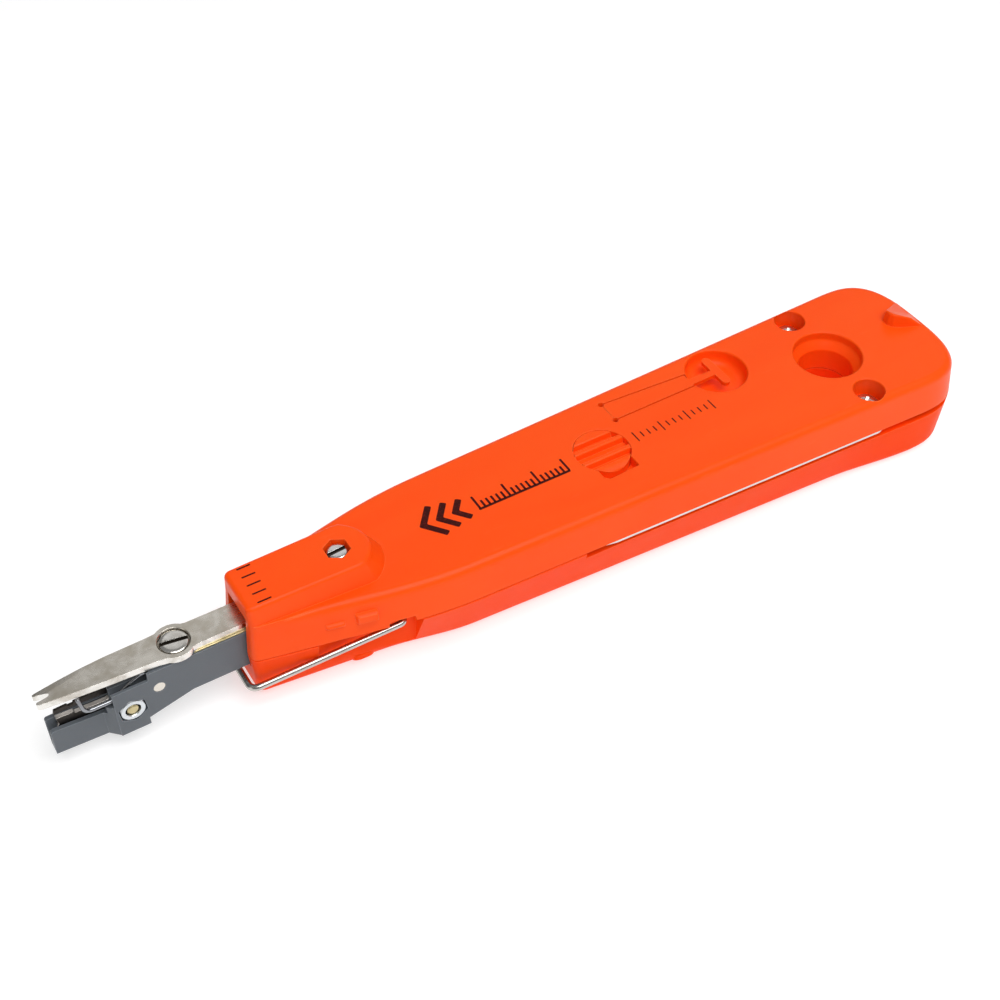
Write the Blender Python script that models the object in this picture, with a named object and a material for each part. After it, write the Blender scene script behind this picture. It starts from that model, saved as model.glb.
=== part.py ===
"""Punch down tool for telecom terminal blocks, modelled as an assembly of separate parts.

The tool lies along X with its tip at -X and its hanging hole at +X, resting on the flat
bottom of its lower shell at Z = 0. Numbers below are millimetres; the meshes are metres.
"""

import math

import bmesh
import bpy
from mathutils import Matrix, Vector

MM = 0.001
GAP = 0.3

# Heights of the casing
TOP_Z = 18.5
PAD_Z = 22.25
SEAM_Z = 10.8
SEAM_GAP = 0.15
CEILING_Z = 16.3
FLOOR_Z = 2.0
WALL = 1.6

# Plan of the casing
NOSE_X = -55.2
NOSE_HALF = 5.3
NOSE_CORNER = 1.2
SHOULDER_START = -33.0
SHOULDER_END = -17.0
SHOULDER_HALF = 12.2
NOSE_SLOPE = 0.218
BODY_SLOPE = 0.035
BUTT_START = 76.7
BUTT_LENGTH = 11.8
BUTT_POWER = 3.0
DRAFT = 0.6
TOP_FILLET = 1.2

# Plan of the lower shell's flat bottom
BOTTOM_NOSE_HALF = 4.3
BOTTOM_NOSE_SLOPE = 0.10
BOTTOM_WAIST_HALF = 9.5
BOTTOM_WAIST_SLOPE = 0.052
HEEL_START = 58.0
HEEL_GROWTH = 1.2
BOTTOM_INSET = 1.0
BOTTOM_FILLET = 2.0

# Features on the casing
SCREW_X = -37.1
HOLE_X = 65.9
HOLE_RIM = 6.5
HOLE_BORE = 5.2
HOLE_TUBE = 8.0
BUTT_SCREW_X = 66.05
BUTT_SCREW_Y = 11.63
BUTT_RECESS = 2.94
BUTT_RECESS_Z = 14.7
BUTTON_X = 15.0
BUTTON_Y = 0.2
BUTTON_R = 5.14
BUTTON_TRAVEL = 1.2
TONGUE_ROOT_X = 21.4
T_X = 45.1
T_Y = 7.07
T_RECESS = 5.8
T_FLOOR_Z = 15.6

# Head
HEAD_TRAVEL = 8.0
STEM_HALF = 3.0
STEM_TOP = 15.45
STEM_BOTTOM = 7.5
BLOCK_TOP = 13.9
BLOCK_BOTTOM = 3.8
BLOCK_FRONT_X = -78.3
BLOCK_REAR_X = -73.3
ARM_TIP_X = -88.4
ARM_HALF = 1.3
ARM_TOP = 10.8
ARM_REAR_TOP = 9.2
CARRIAGE_X = -30.0
CARRIAGE_END_X = -24.0
CARRIAGE_HALF = 4.6
CARRIAGE_BOTTOM = 3.0
CARRIAGE_TOP = 14.5
PIVOT_X = -66.25
LEVER_TOP = 17.06
LEVER_THICK = 1.3
LEVER_TIP_X = -89.1
LEVER_TAIL_X = -50.0
LEVER_LOBE = 3.5
PIN_X = -70.7
PIN_Z = 11.4
PIN_R = 1.0
CLAMP_X = -75.55
CLAMP_Z = 8.66
NUT_CORNER = 2.31
NUT_TILT = -24.0
SENSOR_Y = -1.9
SENSOR_R = 0.35

# Springs and the rod
SPRING_Z = 6.85
SPRING_R = 3.15
SPRING_WIRE = 0.5
SPRING_SEAT_X = 43.0
ROD_R = 1.5

# Bail
BAIL_WIRE = 0.6
BAIL_X = -30.4
BAIL_Z = 9.9
BAIL_ARM_Y = 9.95
BAIL_FRONT_X = -57.0
BAIL_FRONT_Y = 6.1
BAIL_FRONT_Z = 4.9
POCKET_FRONT_X = -45.3
POCKET_REAR_X = -27.8

# Fold-out tools
FOLD_X = 10.5
FOLD_Y = 9.6
FOLD_ROOT = 4.0
FOLD_BOTTOM = 9.75
FOLD_TOP = 10.8
FOLD_TIP_X = 68.2
SLOT_START_X = 3.2
SLOT_END_X = 68.6
FINGER_END_X = 85.0
SLOT_FLOOR_Z = 9.45
PLATE_Z = 11.1
PLATE_THICK = 0.8


def clear_scene():
    for item in list(bpy.data.objects):
        bpy.data.objects.remove(item, do_unlink=True)


def make_material(name, colour, roughness, metallic=0.0):
    material = bpy.data.materials.new(name)
    material.use_nodes = True
    shader = material.node_tree.nodes["Principled BSDF"]
    shader.inputs["Base Color"].default_value = (*colour, 1.0)
    shader.inputs["Roughness"].default_value = roughness
    shader.inputs["Metallic"].default_value = metallic
    return material


# ---------------------------------------------------------------- small helpers


def make_axis(name, place):
    """An empty on a joint's axis, which the pieces that move with it hang from."""
    empty = bpy.data.objects.new(name, None)
    empty.location = Vector(place) * MM
    bpy.context.collection.objects.link(empty)
    return empty


def make_object(bm, name, material=None, parent=None):
    """Turns a millimetre bmesh into a named object whose origin is its parent's."""
    bmesh.ops.connect_verts_nonplanar(bm, angle_limit=0.0005, faces=bm.faces)
    bmesh.ops.recalc_face_normals(bm, faces=bm.faces)
    origin = parent.location if parent else Vector((0, 0, 0))
    for vert in bm.verts:
        vert.co = vert.co * MM - origin
    mesh = bpy.data.meshes.new(name)
    bm.to_mesh(mesh)
    bm.free()
    item = bpy.data.objects.new(name, mesh)
    bpy.context.collection.objects.link(item)
    if parent:
        item.parent = parent
    if material:
        mesh.materials.append(material)
        mesh.shade_smooth()
        mesh.set_sharp_from_angle(angle=math.radians(35))
    return item


def combine(item, other_bm, operation):
    """Cuts the shapes of other_bm out of the object, or joins them to it."""
    tool = make_object(other_bm, "tool_" + item.name, parent=item.parent)
    tool.hide_render = True
    tool.display_type = "WIRE"
    step = item.modifiers.new(operation.lower(), "BOOLEAN")
    step.operation = operation
    step.object = tool
    step.solver = "EXACT"


def cut(item, other_bm):
    combine(item, other_bm, "DIFFERENCE")


def join(item, other_bm):
    combine(item, other_bm, "UNION")


def add_loft(bm, rings):
    """A closed solid through rings of points that all have the same count."""
    loops = [[bm.verts.new(point) for point in ring] for ring in rings]
    count = len(loops[0])
    for lower, upper in zip(loops, loops[1:]):
        for i in range(count):
            j = (i + 1) % count
            bm.faces.new((lower[i], lower[j], upper[j], upper[i]))
    bm.faces.new(loops[0])
    bm.faces.new(loops[-1])


def add_prism(bm, outline, low, high, axis="Z"):
    """An outline pushed along an axis; the outline's pair is the two other axes in order."""
    def place(a, b, h):
        if axis == "Z":
            return (a, b, h)
        if axis == "Y":
            return (a, h, b)
        return (h, a, b)

    add_loft(bm, [[place(a, b, low) for a, b in outline], [place(a, b, high) for a, b in outline]])


def add_box(bm, low, high):
    corners = [(low[0], low[1]), (high[0], low[1]), (high[0], high[1]), (low[0], high[1])]
    add_prism(bm, corners, low[2], high[2])


def circle(cx, cy, radius, count, start=0.0):
    step = math.tau / count
    return [
        (cx + radius * math.cos(start + i * step), cy + radius * math.sin(start + i * step))
        for i in range(count)
    ]


def add_cylinder(bm, centre, radius, low, high, axis="Z", count=24, end_radius=None):
    """A cylinder or cone; centre is the pair of coordinates across the axis."""
    far = radius if end_radius is None else end_radius
    near_ring = circle(centre[0], centre[1], radius, count)
    far_ring = circle(centre[0], centre[1], far, count)

    def place(pair, h):
        if axis == "Z":
            return (pair[0], pair[1], h)
        if axis == "Y":
            return (pair[0], h, pair[1])
        return (h, pair[0], pair[1])

    add_loft(bm, [[place(p, low) for p in near_ring], [place(p, high) for p in far_ring]])


def add_turned(bm, centre, profile, count=32):
    """A solid turned about Z, from pairs of radius and height."""
    rings = []
    for radius, z in profile:
        rings.append([(x, y, z) for x, y in circle(centre[0], centre[1], radius, count)])
    add_loft(bm, rings)


def make_wire(name, points, radius, material, parent=None, closed=False, sides=2):
    """A round wire along a list of points."""
    origin = parent.location if parent else Vector((0, 0, 0))
    curve = bpy.data.curves.new(name, "CURVE")
    curve.dimensions = "3D"
    curve.bevel_depth = radius * MM
    curve.bevel_resolution = sides
    curve.use_fill_caps = not closed
    spline = curve.splines.new("POLY")
    spline.points.add(len(points) - 1)
    spline.use_cyclic_u = closed
    for target, point in zip(spline.points, points):
        target.co = (*(Vector(point) * MM - origin), 1.0)
    item = bpy.data.objects.new(name, curve)
    bpy.context.collection.objects.link(item)
    if parent:
        item.parent = parent
    curve.materials.append(material)
    return item


def arc(centre, radius, start, end, count):
    """Points of an arc in a plane, with angles in degrees, ends included."""
    points = []
    for i in range(count + 1):
        angle = math.radians(start + (end - start) * i / count)
        points.append((centre[0] + radius * math.cos(angle), centre[1] + radius * math.sin(angle)))
    return points


def helix(axis_point, direction, length, radius, turns, per_turn):
    """Points of a coil spring along X or Z from one end of its length to the other."""
    steps = int(turns * per_turn)
    points = []
    for i in range(steps + 1):
        angle = math.tau * i / per_turn
        a = radius * math.cos(angle)
        b = radius * math.sin(angle)
        h = length * i / steps
        if direction == "X":
            points.append((axis_point[0] + h, axis_point[1] + a, axis_point[2] + b))
        else:
            points.append((axis_point[0] + a, axis_point[1] + b, axis_point[2] + h))
    return points


# ---------------------------------------------------------------- plan of the casing


def blend_curve(x, x0, y0, m0, x1, y1, m1):
    """A cubic between two points that leaves each at its own slope."""
    span = x1 - x0
    t = (x - x0) / span
    a = (2 * t**3 - 3 * t**2 + 1) * y0 + (t**3 - 2 * t**2 + t) * span * m0
    b = (-2 * t**3 + 3 * t**2) * y1 + (t**3 - t**2) * span * m1
    return a + b


def top_half_width(x):
    """Half of the casing's width at the level of its top face."""
    at_start = NOSE_HALF + NOSE_SLOPE * (SHOULDER_START - NOSE_X)
    if x <= SHOULDER_START:
        return NOSE_HALF + NOSE_SLOPE * (x - NOSE_X)
    if x < SHOULDER_END:
        ends = (SHOULDER_START, at_start, NOSE_SLOPE, SHOULDER_END, SHOULDER_HALF, BODY_SLOPE)
        return blend_curve(x, *ends)
    return SHOULDER_HALF + BODY_SLOPE * (x - SHOULDER_END)


def bottom_half_width(x):
    """Half of the lower shell's width where its walls would meet the bottom."""
    at_start = BOTTOM_NOSE_HALF + BOTTOM_NOSE_SLOPE * (SHOULDER_START - NOSE_X)
    if x <= SHOULDER_START:
        return BOTTOM_NOSE_HALF + BOTTOM_NOSE_SLOPE * (x - NOSE_X)
    if x < SHOULDER_END:
        start = (SHOULDER_START, at_start, BOTTOM_NOSE_SLOPE)
        return blend_curve(x, *start, SHOULDER_END, BOTTOM_WAIST_HALF, BOTTOM_WAIST_SLOPE)
    waist = BOTTOM_WAIST_HALF + BOTTOM_WAIST_SLOPE * (x - SHOULDER_END)
    if x <= HEEL_START:
        return waist
    t = (x - HEEL_START) / (BUTT_START - HEEL_START)
    return waist + HEEL_GROWTH * t * t * (3 - 2 * t)


STATIONS = [-50.0, -44.0, -38.0, -33.0, -29.8, -26.6, -23.4, -20.2, -17.0, -2.0, 13.0, 28.0, 43.0]
STATIONS += [58.0, 62.7, 67.4, 72.1]
BUTT_STEPS = 9


def plan(half_width, grow, front=NOSE_X, butt=BUTT_LENGTH):
    """Outline of the casing in plan, grown by a distance all round; near side first."""
    front_x = front - grow
    front_half = half_width(front) + grow
    near = [(front_x, -(front_half - NOSE_CORNER))]
    corner = NOSE_CORNER * 0.293
    near.append((front_x + corner, -(front_half - corner)))
    near.append((front_x + NOSE_CORNER, -(half_width(front_x + NOSE_CORNER) + grow)))
    near += [(x, -(half_width(x) + grow)) for x in STATIONS if x > front_x + NOSE_CORNER + 1.0]
    power = 2 / BUTT_POWER
    butt_half = half_width(BUTT_START) + grow
    for i in range(BUTT_STEPS + 1):
        angle = math.radians(90) * i / BUTT_STEPS
        x = BUTT_START + (butt + grow) * math.sin(angle) ** power
        y = butt_half * max(0.0, math.cos(angle)) ** power
        near.append((x, -y))
    far = [(x, -y) for x, y in reversed(near[:-1])]
    return near + far


def ring_at(outline, z):
    return [(x, y, z) for x, y in outline]


def between(outer, inner, share):
    """An outline part of the way from one outline to another with the same points."""
    return [
        (a[0] + (b[0] - a[0]) * share, a[1] + (b[1] - a[1]) * share) for a, b in zip(outer, inner)
    ]


def crest(outline, inset_outline):
    """Leaves the nose's top edge sharp, where the raised pad continues the walls."""
    points = []
    for full, inset in zip(outline, inset_outline):
        share = min(1.0, max(0.0, (full[0] + 50.0) / 14.0))
        points.append((full[0] + (inset[0] - full[0]) * share, full[1] + (inset[1] - full[1]) * share))
    return points


def upper_outer():
    """The upper shell's outer solid, from the seam to the top face."""
    top = plan(top_half_width, 0.0)
    seam = plan(top_half_width, DRAFT)
    low = SEAM_Z + SEAM_GAP
    rings = [ring_at(seam, low), ring_at(top, TOP_Z - TOP_FILLET)]
    for angle in (30, 60, 90):
        drop = TOP_FILLET * (1 - math.sin(math.radians(angle)))
        inset = TOP_FILLET * (1 - math.cos(math.radians(angle)))
        rings.append(ring_at(crest(top, plan(top_half_width, -inset)), TOP_Z - drop))
    bm = bmesh.new()
    add_loft(bm, rings)
    return bm


def pad_ring(front_half, rear_half, rear_length, z, front_x=NOSE_X):
    """One outline of the raised nose pad, straight to the screw and round behind it."""
    points = [(front_x, -front_half, z), (SCREW_X - 8.0, -between_pair(front_half, rear_half, 0.55), z)]
    for i in range(13):
        angle = math.radians(-90 + 15 * i)
        points.append((SCREW_X + rear_length * math.cos(angle), rear_half * math.sin(angle), z))
    points += [(SCREW_X - 8.0, between_pair(front_half, rear_half, 0.55), z), (front_x, front_half, z)]
    return points


def between_pair(a, b, share):
    return a + (b - a) * share


def nose_pad():
    """The raised pad with its drafted sides and rounded top edge."""
    inset = NOSE_X + 0.04
    bm = bmesh.new()
    rings = [
        pad_ring(4.6, 6.2, 7.6, TOP_Z - 1.0, NOSE_X + 0.6),
        pad_ring(5.26, 6.9, 8.3, TOP_Z, inset),
        pad_ring(4.95, 5.3, 5.4, PAD_Z - 0.7, inset),
        pad_ring(4.75, 5.0, 5.0, PAD_Z - 0.2, inset + 0.2),
        pad_ring(4.4, 4.5, 4.5, PAD_Z, inset + 0.7),
    ]
    add_loft(bm, rings)
    return bm


def detent_bumps(heights, xs):
    """Small ramps on the nose walls that hold the bail's arms."""
    bm = bmesh.new()
    for side in (-1, 1):
        for (x0, x1), (z0, z1) in zip(xs, heights):
            a = top_half_width(x0) + 0.30
            b = top_half_width(x1) + 0.30
            outline = [(x0, side * (a - 1.0)), (x1, side * (b - 1.0)), (x1, side * b), (x0, side * a)]
            proud = [(x0 + 0.5, side * (a + 0.55)), (x1 - 0.5, side * (b + 0.55))]
            outline = outline[:2] + [outline[2], proud[1], proud[0], outline[3]]
            add_prism(bm, outline, z0, z1)
    return bm


# ---------------------------------------------------------------- upper shell


def upper_cavity():
    """The room inside the upper shell, and the stem's and lever's way out at the nose."""
    bm = bmesh.new()
    outer = plan(top_half_width, DRAFT - WALL, front=-41.0)
    inner = plan(top_half_width, -WALL, front=-41.0)
    add_loft(bm, [ring_at(outer, SEAM_Z - 2.0), ring_at(inner, CEILING_Z)])
    return bm


def upper_islands():
    """Posts that hang from the ceiling: the hole's tube, screw bosses and the T recess cup."""
    bm = bmesh.new()
    low = SEAM_Z + SEAM_GAP
    add_cylinder(bm, (HOLE_X, 0), HOLE_TUBE, low, CEILING_Z + 0.8, count=32)
    return bm


def upper_bosses(side):
    bm = bmesh.new()
    low = SEAM_Z + SEAM_GAP
    add_cylinder(bm, (BUTT_SCREW_X, side * BUTT_SCREW_Y), 3.4, low, CEILING_Z + 0.7)
    return bm


def stem_way():
    """The passage for the grey stem through the upper half of the nose."""
    bm = bmesh.new()
    half = STEM_HALF + 0.4
    add_box(bm, (NOSE_X - 3.0, -half, SEAM_Z - 2.0), (-39.0, half, STEM_TOP + GAP))
    return bm


def lever_way():
    """The passage for the lever's tail, wider behind a lip at the nose's front."""
    bm = bmesh.new()
    outline = [(NOSE_X - 3.0, -3.4), (NOSE_X + 1.2, -3.4), (NOSE_X + 1.3, -4.35), (-38.5, -5.6)]
    outline += [(-38.5, 5.6), (NOSE_X + 1.3, 4.35), (NOSE_X + 1.2, 3.4), (NOSE_X - 3.0, 3.4)]
    add_prism(bm, outline, STEM_TOP, 19.0)
    return bm


def hexagon(cx, cy, corner, start):
    return circle(cx, cy, corner, 6, math.radians(start))


def upper_holes():
    """Round openings through the top face."""
    bm = bmesh.new()
    flare = TOP_Z - 2.0
    bore = [(HOLE_BORE, SEAM_Z - 1), (HOLE_BORE, flare), (HOLE_RIM, TOP_Z), (HOLE_RIM + 0.7, TOP_Z + 1)]
    add_turned(bm, (HOLE_X, 0), bore)
    add_cylinder(bm, (BUTTON_X, BUTTON_Y), BUTTON_R + GAP, CEILING_Z - 1.5, TOP_Z + 1, count=32)
    add_cylinder(bm, (T_X, T_Y), T_RECESS, T_FLOOR_Z, TOP_Z + 1, count=32)
    for side in (-1, 1):
        add_cylinder(bm, (BUTT_SCREW_X, side * BUTT_SCREW_Y), BUTT_RECESS, BUTT_RECESS_Z, TOP_Z + 1)
    add_prism(bm, hexagon(SCREW_X, 0, NUT_CORNER, 90), 20.2, PAD_Z + 1)
    return bm


def upper_fine_holes():
    """The screws' shank holes and the notch beside the button."""
    bm = bmesh.new()
    add_cylinder(bm, (SCREW_X, 0), 1.3, SEAM_Z, 20.5, count=16)
    for side in (-1, 1):
        add_cylinder(bm, (BUTT_SCREW_X, side * BUTT_SCREW_Y), 1.55, SEAM_Z - 1, BUTT_RECESS_Z + 1, count=16)
    add_box(bm, (11.75, -6.1, TOP_Z - 1.5), (18.3, -3.3, TOP_Z + 1))
    return bm


def tongue_window():
    """The long opening that the release tongue lies in."""
    bm = bmesh.new()
    outline = [(TONGUE_ROOT_X - 0.3, 5.1), (T_X - 4.0, 5.1), (T_X - 4.0, 9.75), (TONGUE_ROOT_X - 0.3, 10.7)]
    add_prism(bm, outline, CEILING_Z - 1.0, TOP_Z + 1)
    return bm


def thumb_catch():
    """The raised catch at the butt, high at its front corner and falling to the rim."""
    bm = bmesh.new()
    low = TOP_Z - 1.3
    foot = [(81.3, 2.2), (81.5, 0.0), (84.5, -1.75), (87.3, -3.15), (88.0, 1.5), (87.9, 5.9)]
    crown = [
        (81.7, 2.1, TOP_Z + 2.5),
        (81.9, 0.3, TOP_Z + 2.6),
        (84.6, -1.45, TOP_Z + 2.0),
        (87.3, -2.9, TOP_Z - 0.3),
        (88.0, 1.5, TOP_Z - 0.45),
        (87.9, 5.7, TOP_Z - 0.4),
    ]
    add_loft(bm, [ring_at(foot, low), crown])
    return bm


def build_upper_shell(material):
    item = make_object(upper_outer(), "upper_shell", material)
    join(item, nose_pad())
    cut(item, upper_cavity())
    join(item, upper_islands())
    for side in (-1, 1):
        join(item, upper_bosses(side))
    cup = bmesh.new()
    add_cylinder(cup, (T_X, T_Y), T_RECESS + 1.0, T_FLOOR_Z - 1.2, CEILING_Z + 0.6, count=32)
    join(item, cup)
    bump_x = ((-43.8, -40.6), (-38.9, -35.2))
    join(item, detent_bumps(((14.2, 14.9), (13.9, 15.6)), bump_x))
    cut(item, stem_way())
    cut(item, lever_way())
    cut(item, upper_holes())
    cut(item, upper_fine_holes())
    cut(item, tongue_window())
    join(item, thumb_catch())
    return item


# ---------------------------------------------------------------- lower shell


def lower_outer():
    """The lower shell's outer solid, with a rounded corner along its bottom."""
    seam = plan(top_half_width, DRAFT)
    bottom = plan(bottom_half_width, 0.0, butt=BUTT_LENGTH + DRAFT - BOTTOM_INSET)
    high = SEAM_Z - SEAM_GAP
    rings = [ring_at(seam, high)]
    for angle in (0, 30, 60, 90):
        z = BOTTOM_FILLET * (1 - math.sin(math.radians(angle)))
        inset = BOTTOM_FILLET * (1 - math.cos(math.radians(angle)))
        tight = plan(bottom_half_width, -inset, butt=BUTT_LENGTH + DRAFT - BOTTOM_INSET)
        loose = between(seam, bottom, (SEAM_Z - z) / SEAM_Z)
        moved = [
            (a[0] + b[0] - c[0], a[1] + b[1] - c[1]) for a, b, c in zip(loose, tight, bottom)
        ]
        rings.append(ring_at(moved, z))
    bm = bmesh.new()
    add_loft(bm, rings)
    return bm


def lower_cavity():
    """The room inside the lower shell."""
    front = POCKET_REAR_X + 0.9
    seam = plan(top_half_width, DRAFT - WALL, front=front)
    bottom = plan(bottom_half_width, -WALL, front=front, butt=BUTT_LENGTH + DRAFT - BOTTOM_INSET)
    floor = between(seam, bottom, (SEAM_Z - FLOOR_Z) / SEAM_Z)
    bm = bmesh.new()
    add_loft(bm, [ring_at(floor, FLOOR_Z), ring_at(seam, SEAM_Z + 1.0)])
    return bm


def lower_islands():
    """Posts and walls that stand on the floor of the lower shell."""
    bm = bmesh.new()
    high = SEAM_Z - SEAM_GAP
    add_cylinder(bm, (HOLE_X, 0), HOLE_TUBE, FLOOR_Z - 0.8, high, count=32)
    add_box(bm, (SPRING_SEAT_X, -6.0, FLOOR_Z - 0.8), (SPRING_SEAT_X + 2.5, 6.0, high - 0.4))
    for side in (-1, 1):
        add_cylinder(bm, (FOLD_X, side * FOLD_Y), 2.0, 6.0, SLOT_FLOOR_Z, count=20)
    return bm


def lower_bosses(side):
    bm = bmesh.new()
    high = SEAM_Z - SEAM_GAP
    add_cylinder(bm, (BUTT_SCREW_X, side * BUTT_SCREW_Y), 2.5, 5.0, high)
    return bm


def lower_stem_way():
    bm = bmesh.new()
    half = STEM_HALF + 0.4
    add_box(bm, (NOSE_X - 3.0, -half, STEM_BOTTOM - 0.4), (CARRIAGE_X + 1, half, SEAM_Z + 1))
    return bm


def carriage_bay():
    """The narrow room just behind the nose where the carriage rests."""
    bm = bmesh.new()
    half = CARRIAGE_HALF + 0.5
    add_box(bm, (CARRIAGE_X - GAP, -half, FLOOR_Z + 0.4), (CARRIAGE_END_X, half, SEAM_Z + 1))
    return bm


def lower_holes():
    """Holes for the pins, the screws and the nut, and the bore of the hanging hole."""
    bm = bmesh.new()
    add_cylinder(bm, (HOLE_X, 0), HOLE_BORE, -1, SEAM_Z + 1, count=32)
    add_prism(bm, hexagon(SCREW_X, 0, NUT_CORNER + GAP, 90), -1, 2.0)
    for side in (-1, 1):
        add_cylinder(bm, (BUTT_SCREW_X, side * BUTT_SCREW_Y), 1.5, 5.6, SEAM_Z + 1, count=16)
        add_cylinder(bm, (FOLD_X, side * FOLD_Y), 1.3, 6.5, SEAM_Z + 1, count=16)
    return bm


def screw_shank_hole():
    bm = bmesh.new()
    add_cylinder(bm, (SCREW_X, 0), 1.3, 1.0, SEAM_Z, count=16)
    add_cylinder(bm, (0, SPRING_Z), ROD_R + GAP, SPRING_SEAT_X - 1, SPRING_SEAT_X + 1.6, axis="X", count=16)
    return bm


def bail_line(x):
    """The bail arm's distance from the middle, beside a place along the nose."""
    slope = (BAIL_ARM_Y - BAIL_FRONT_Y) / (BAIL_X - BAIL_FRONT_X)
    return BAIL_FRONT_Y + slope * (x - BAIL_FRONT_X)


def bail_pocket(side):
    """The recess beside the nose for the bail's arm, deeper below the pivot where it swings."""
    rings = []
    for z, rear_depth in ((2.0, 2.3), (SEAM_Z + 1, BAIL_WIRE + 0.4)):
        front = bail_line(POCKET_FRONT_X) - BAIL_WIRE - 0.4
        rear = bail_line(POCKET_REAR_X) - rear_depth
        outline = [(POCKET_FRONT_X, front), (POCKET_REAR_X, rear)]
        outline += [(POCKET_REAR_X, 20.0), (POCKET_FRONT_X, 20.0)]
        rings.append([(x, side * y, z) for x, y in outline])
    bm = bmesh.new()
    add_loft(bm, rings)
    return bm


def lower_bump(side):
    """A small ramp low on the nose that the bail's arm snaps past."""
    outline = [(-39.0, 4.5), (-34.9, 4.5), (-34.9, 6.8), (-35.8, 7.3), (-38.1, 7.2), (-39.0, 6.7)]
    bm = bmesh.new()
    add_prism(bm, [(x, side * y) for x, y in outline], 1.45, 2.85)
    return bm


def pivot_notch(side):
    """The notch that the bail's inturned end lies in, closed above by the upper shell."""
    edges = sorted((side * 7.2, side * 9.6))
    reach = BAIL_WIRE + GAP
    bm = bmesh.new()
    low = (BAIL_X - reach, edges[0], BAIL_Z - reach)
    add_box(bm, low, (BAIL_X + reach, edges[1], SEAM_Z + 0.7))
    return bm


def rim_slot(side):
    """The long slot in the rim for a fold-out tool, with its finger gap behind the tip."""
    outline = [(SLOT_START_X, 6.0), (30.0, 6.0), (30.0, 10.5), (61.5, 10.5), (61.5, 14.35)]
    outline += [(74.6, 14.35), (74.6, 7.5), (FINGER_END_X, 7.5), (FINGER_END_X, 20.0)]
    outline += [(SLOT_START_X, 20.0)]
    bm = bmesh.new()
    add_prism(bm, [(x, side * y) for x, y in outline], SLOT_FLOOR_Z, SEAM_Z + 1)
    return bm


def build_lower_shell(material):
    item = make_object(lower_outer(), "lower_shell", material)
    for side in (-1, 1):
        join(item, lower_bump(side))
    cut(item, lower_cavity())
    join(item, lower_islands())
    for side in (-1, 1):
        join(item, lower_bosses(side))
    cut(item, lower_stem_way())
    cut(item, carriage_bay())
    for side in (-1, 1):
        cut(item, pivot_notch(side))
        cut(item, bail_pocket(side))
        cut(item, rim_slot(side))
    cut(item, lower_holes())
    cut(item, screw_shank_hole())
    return item


# ---------------------------------------------------------------- casing fasteners


def build_nose_screw(material):
    bm = bmesh.new()
    add_cylinder(bm, (SCREW_X, 0), 1.65, 20.5, 21.3)
    item = make_object(bm, "nose_screw", material)
    shank = bmesh.new()
    add_cylinder(shank, (SCREW_X, 0), 1.0, 0.5, 20.9, count=16)
    join(item, shank)
    slot = bmesh.new()
    add_box(slot, (SCREW_X - 0.25, -3, 20.9), (SCREW_X + 0.25, 3, 22))
    bmesh.ops.rotate(slot, verts=slot.verts, cent=(SCREW_X, 0, 0), matrix=Matrix.Rotation(1.9, 3, "Z"))
    cut(item, slot)
    return item


def build_nose_nut(material):
    bm = bmesh.new()
    add_prism(bm, hexagon(SCREW_X, 0, NUT_CORNER, 90), 0.2, 1.7)
    item = make_object(bm, "nose_nut", material)
    bore = bmesh.new()
    add_cylinder(bore, (SCREW_X, 0), 1.3, -1, 3, count=16)
    cut(item, bore)
    return item


def build_butt_screw(name, side, material):
    """A pan-head screw with a cross recess, deep in its counterbore."""
    place = (BUTT_SCREW_X, side * BUTT_SCREW_Y)
    bm = bmesh.new()
    add_cylinder(bm, place, 2.3, BUTT_RECESS_Z + GAP, BUTT_RECESS_Z + 1.2)
    item = make_object(bm, name, material)
    shank = bmesh.new()
    add_cylinder(shank, place, 1.2, 6.0, BUTT_RECESS_Z + 0.8, count=16)
    join(item, shank)
    cross = bmesh.new()
    low = BUTT_RECESS_Z + 0.7
    add_box(cross, (place[0] - 1.3, place[1] - 0.3, low), (place[0] + 1.3, place[1] + 0.3, low + 2))
    cut(item, cross)
    bar = bmesh.new()
    add_box(bar, (place[0] - 0.3, place[1] - 1.3, low), (place[0] + 0.3, place[1] + 1.3, low + 2))
    cut(item, bar)
    return item


# ---------------------------------------------------------------- head


def head_side():
    """Side view of the stem and block, as pairs of X and Z."""
    return [
        (CARRIAGE_X + 1.0, STEM_TOP),
        (BLOCK_REAR_X + 1.1, STEM_TOP),
        (BLOCK_REAR_X + 1.0, BLOCK_TOP),
        (BLOCK_FRONT_X, BLOCK_TOP),
        (BLOCK_FRONT_X, BLOCK_BOTTOM),
        (BLOCK_REAR_X, BLOCK_BOTTOM),
        (BLOCK_REAR_X, 5.35),
        (-65.4, STEM_BOTTOM),
        (CARRIAGE_X + 1.0, STEM_BOTTOM),
    ]


def head_arm():
    """The narrow front arm with its sloping top and the tapered root at the block."""
    bm = bmesh.new()
    root = BLOCK_FRONT_X - 1.55
    rings = []
    for z, front in ((BLOCK_BOTTOM, 0.3), (BLOCK_BOTTOM + 0.3, 0.0), (ARM_TOP, 0.0)):
        half = ARM_HALF
        tip = ARM_TIP_X + front
        outline = [(tip, -half), (root, -half), (BLOCK_FRONT_X + 0.2, -STEM_HALF + 0.05)]
        outline += [(BLOCK_FRONT_X + 0.6, -STEM_HALF + 0.05), (BLOCK_FRONT_X + 0.6, STEM_HALF - 0.05)]
        outline += [(BLOCK_FRONT_X + 0.2, STEM_HALF - 0.05), (root, half), (tip, half)]
        rings.append(ring_at(outline, z))
    rings[-1] = [
        (x, y, ARM_TOP if x < root - 1 or x > root + 1 else ARM_REAR_TOP + 0.3) for x, y, z in rings[-1]
    ]
    add_loft(bm, rings)
    return bm


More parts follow.
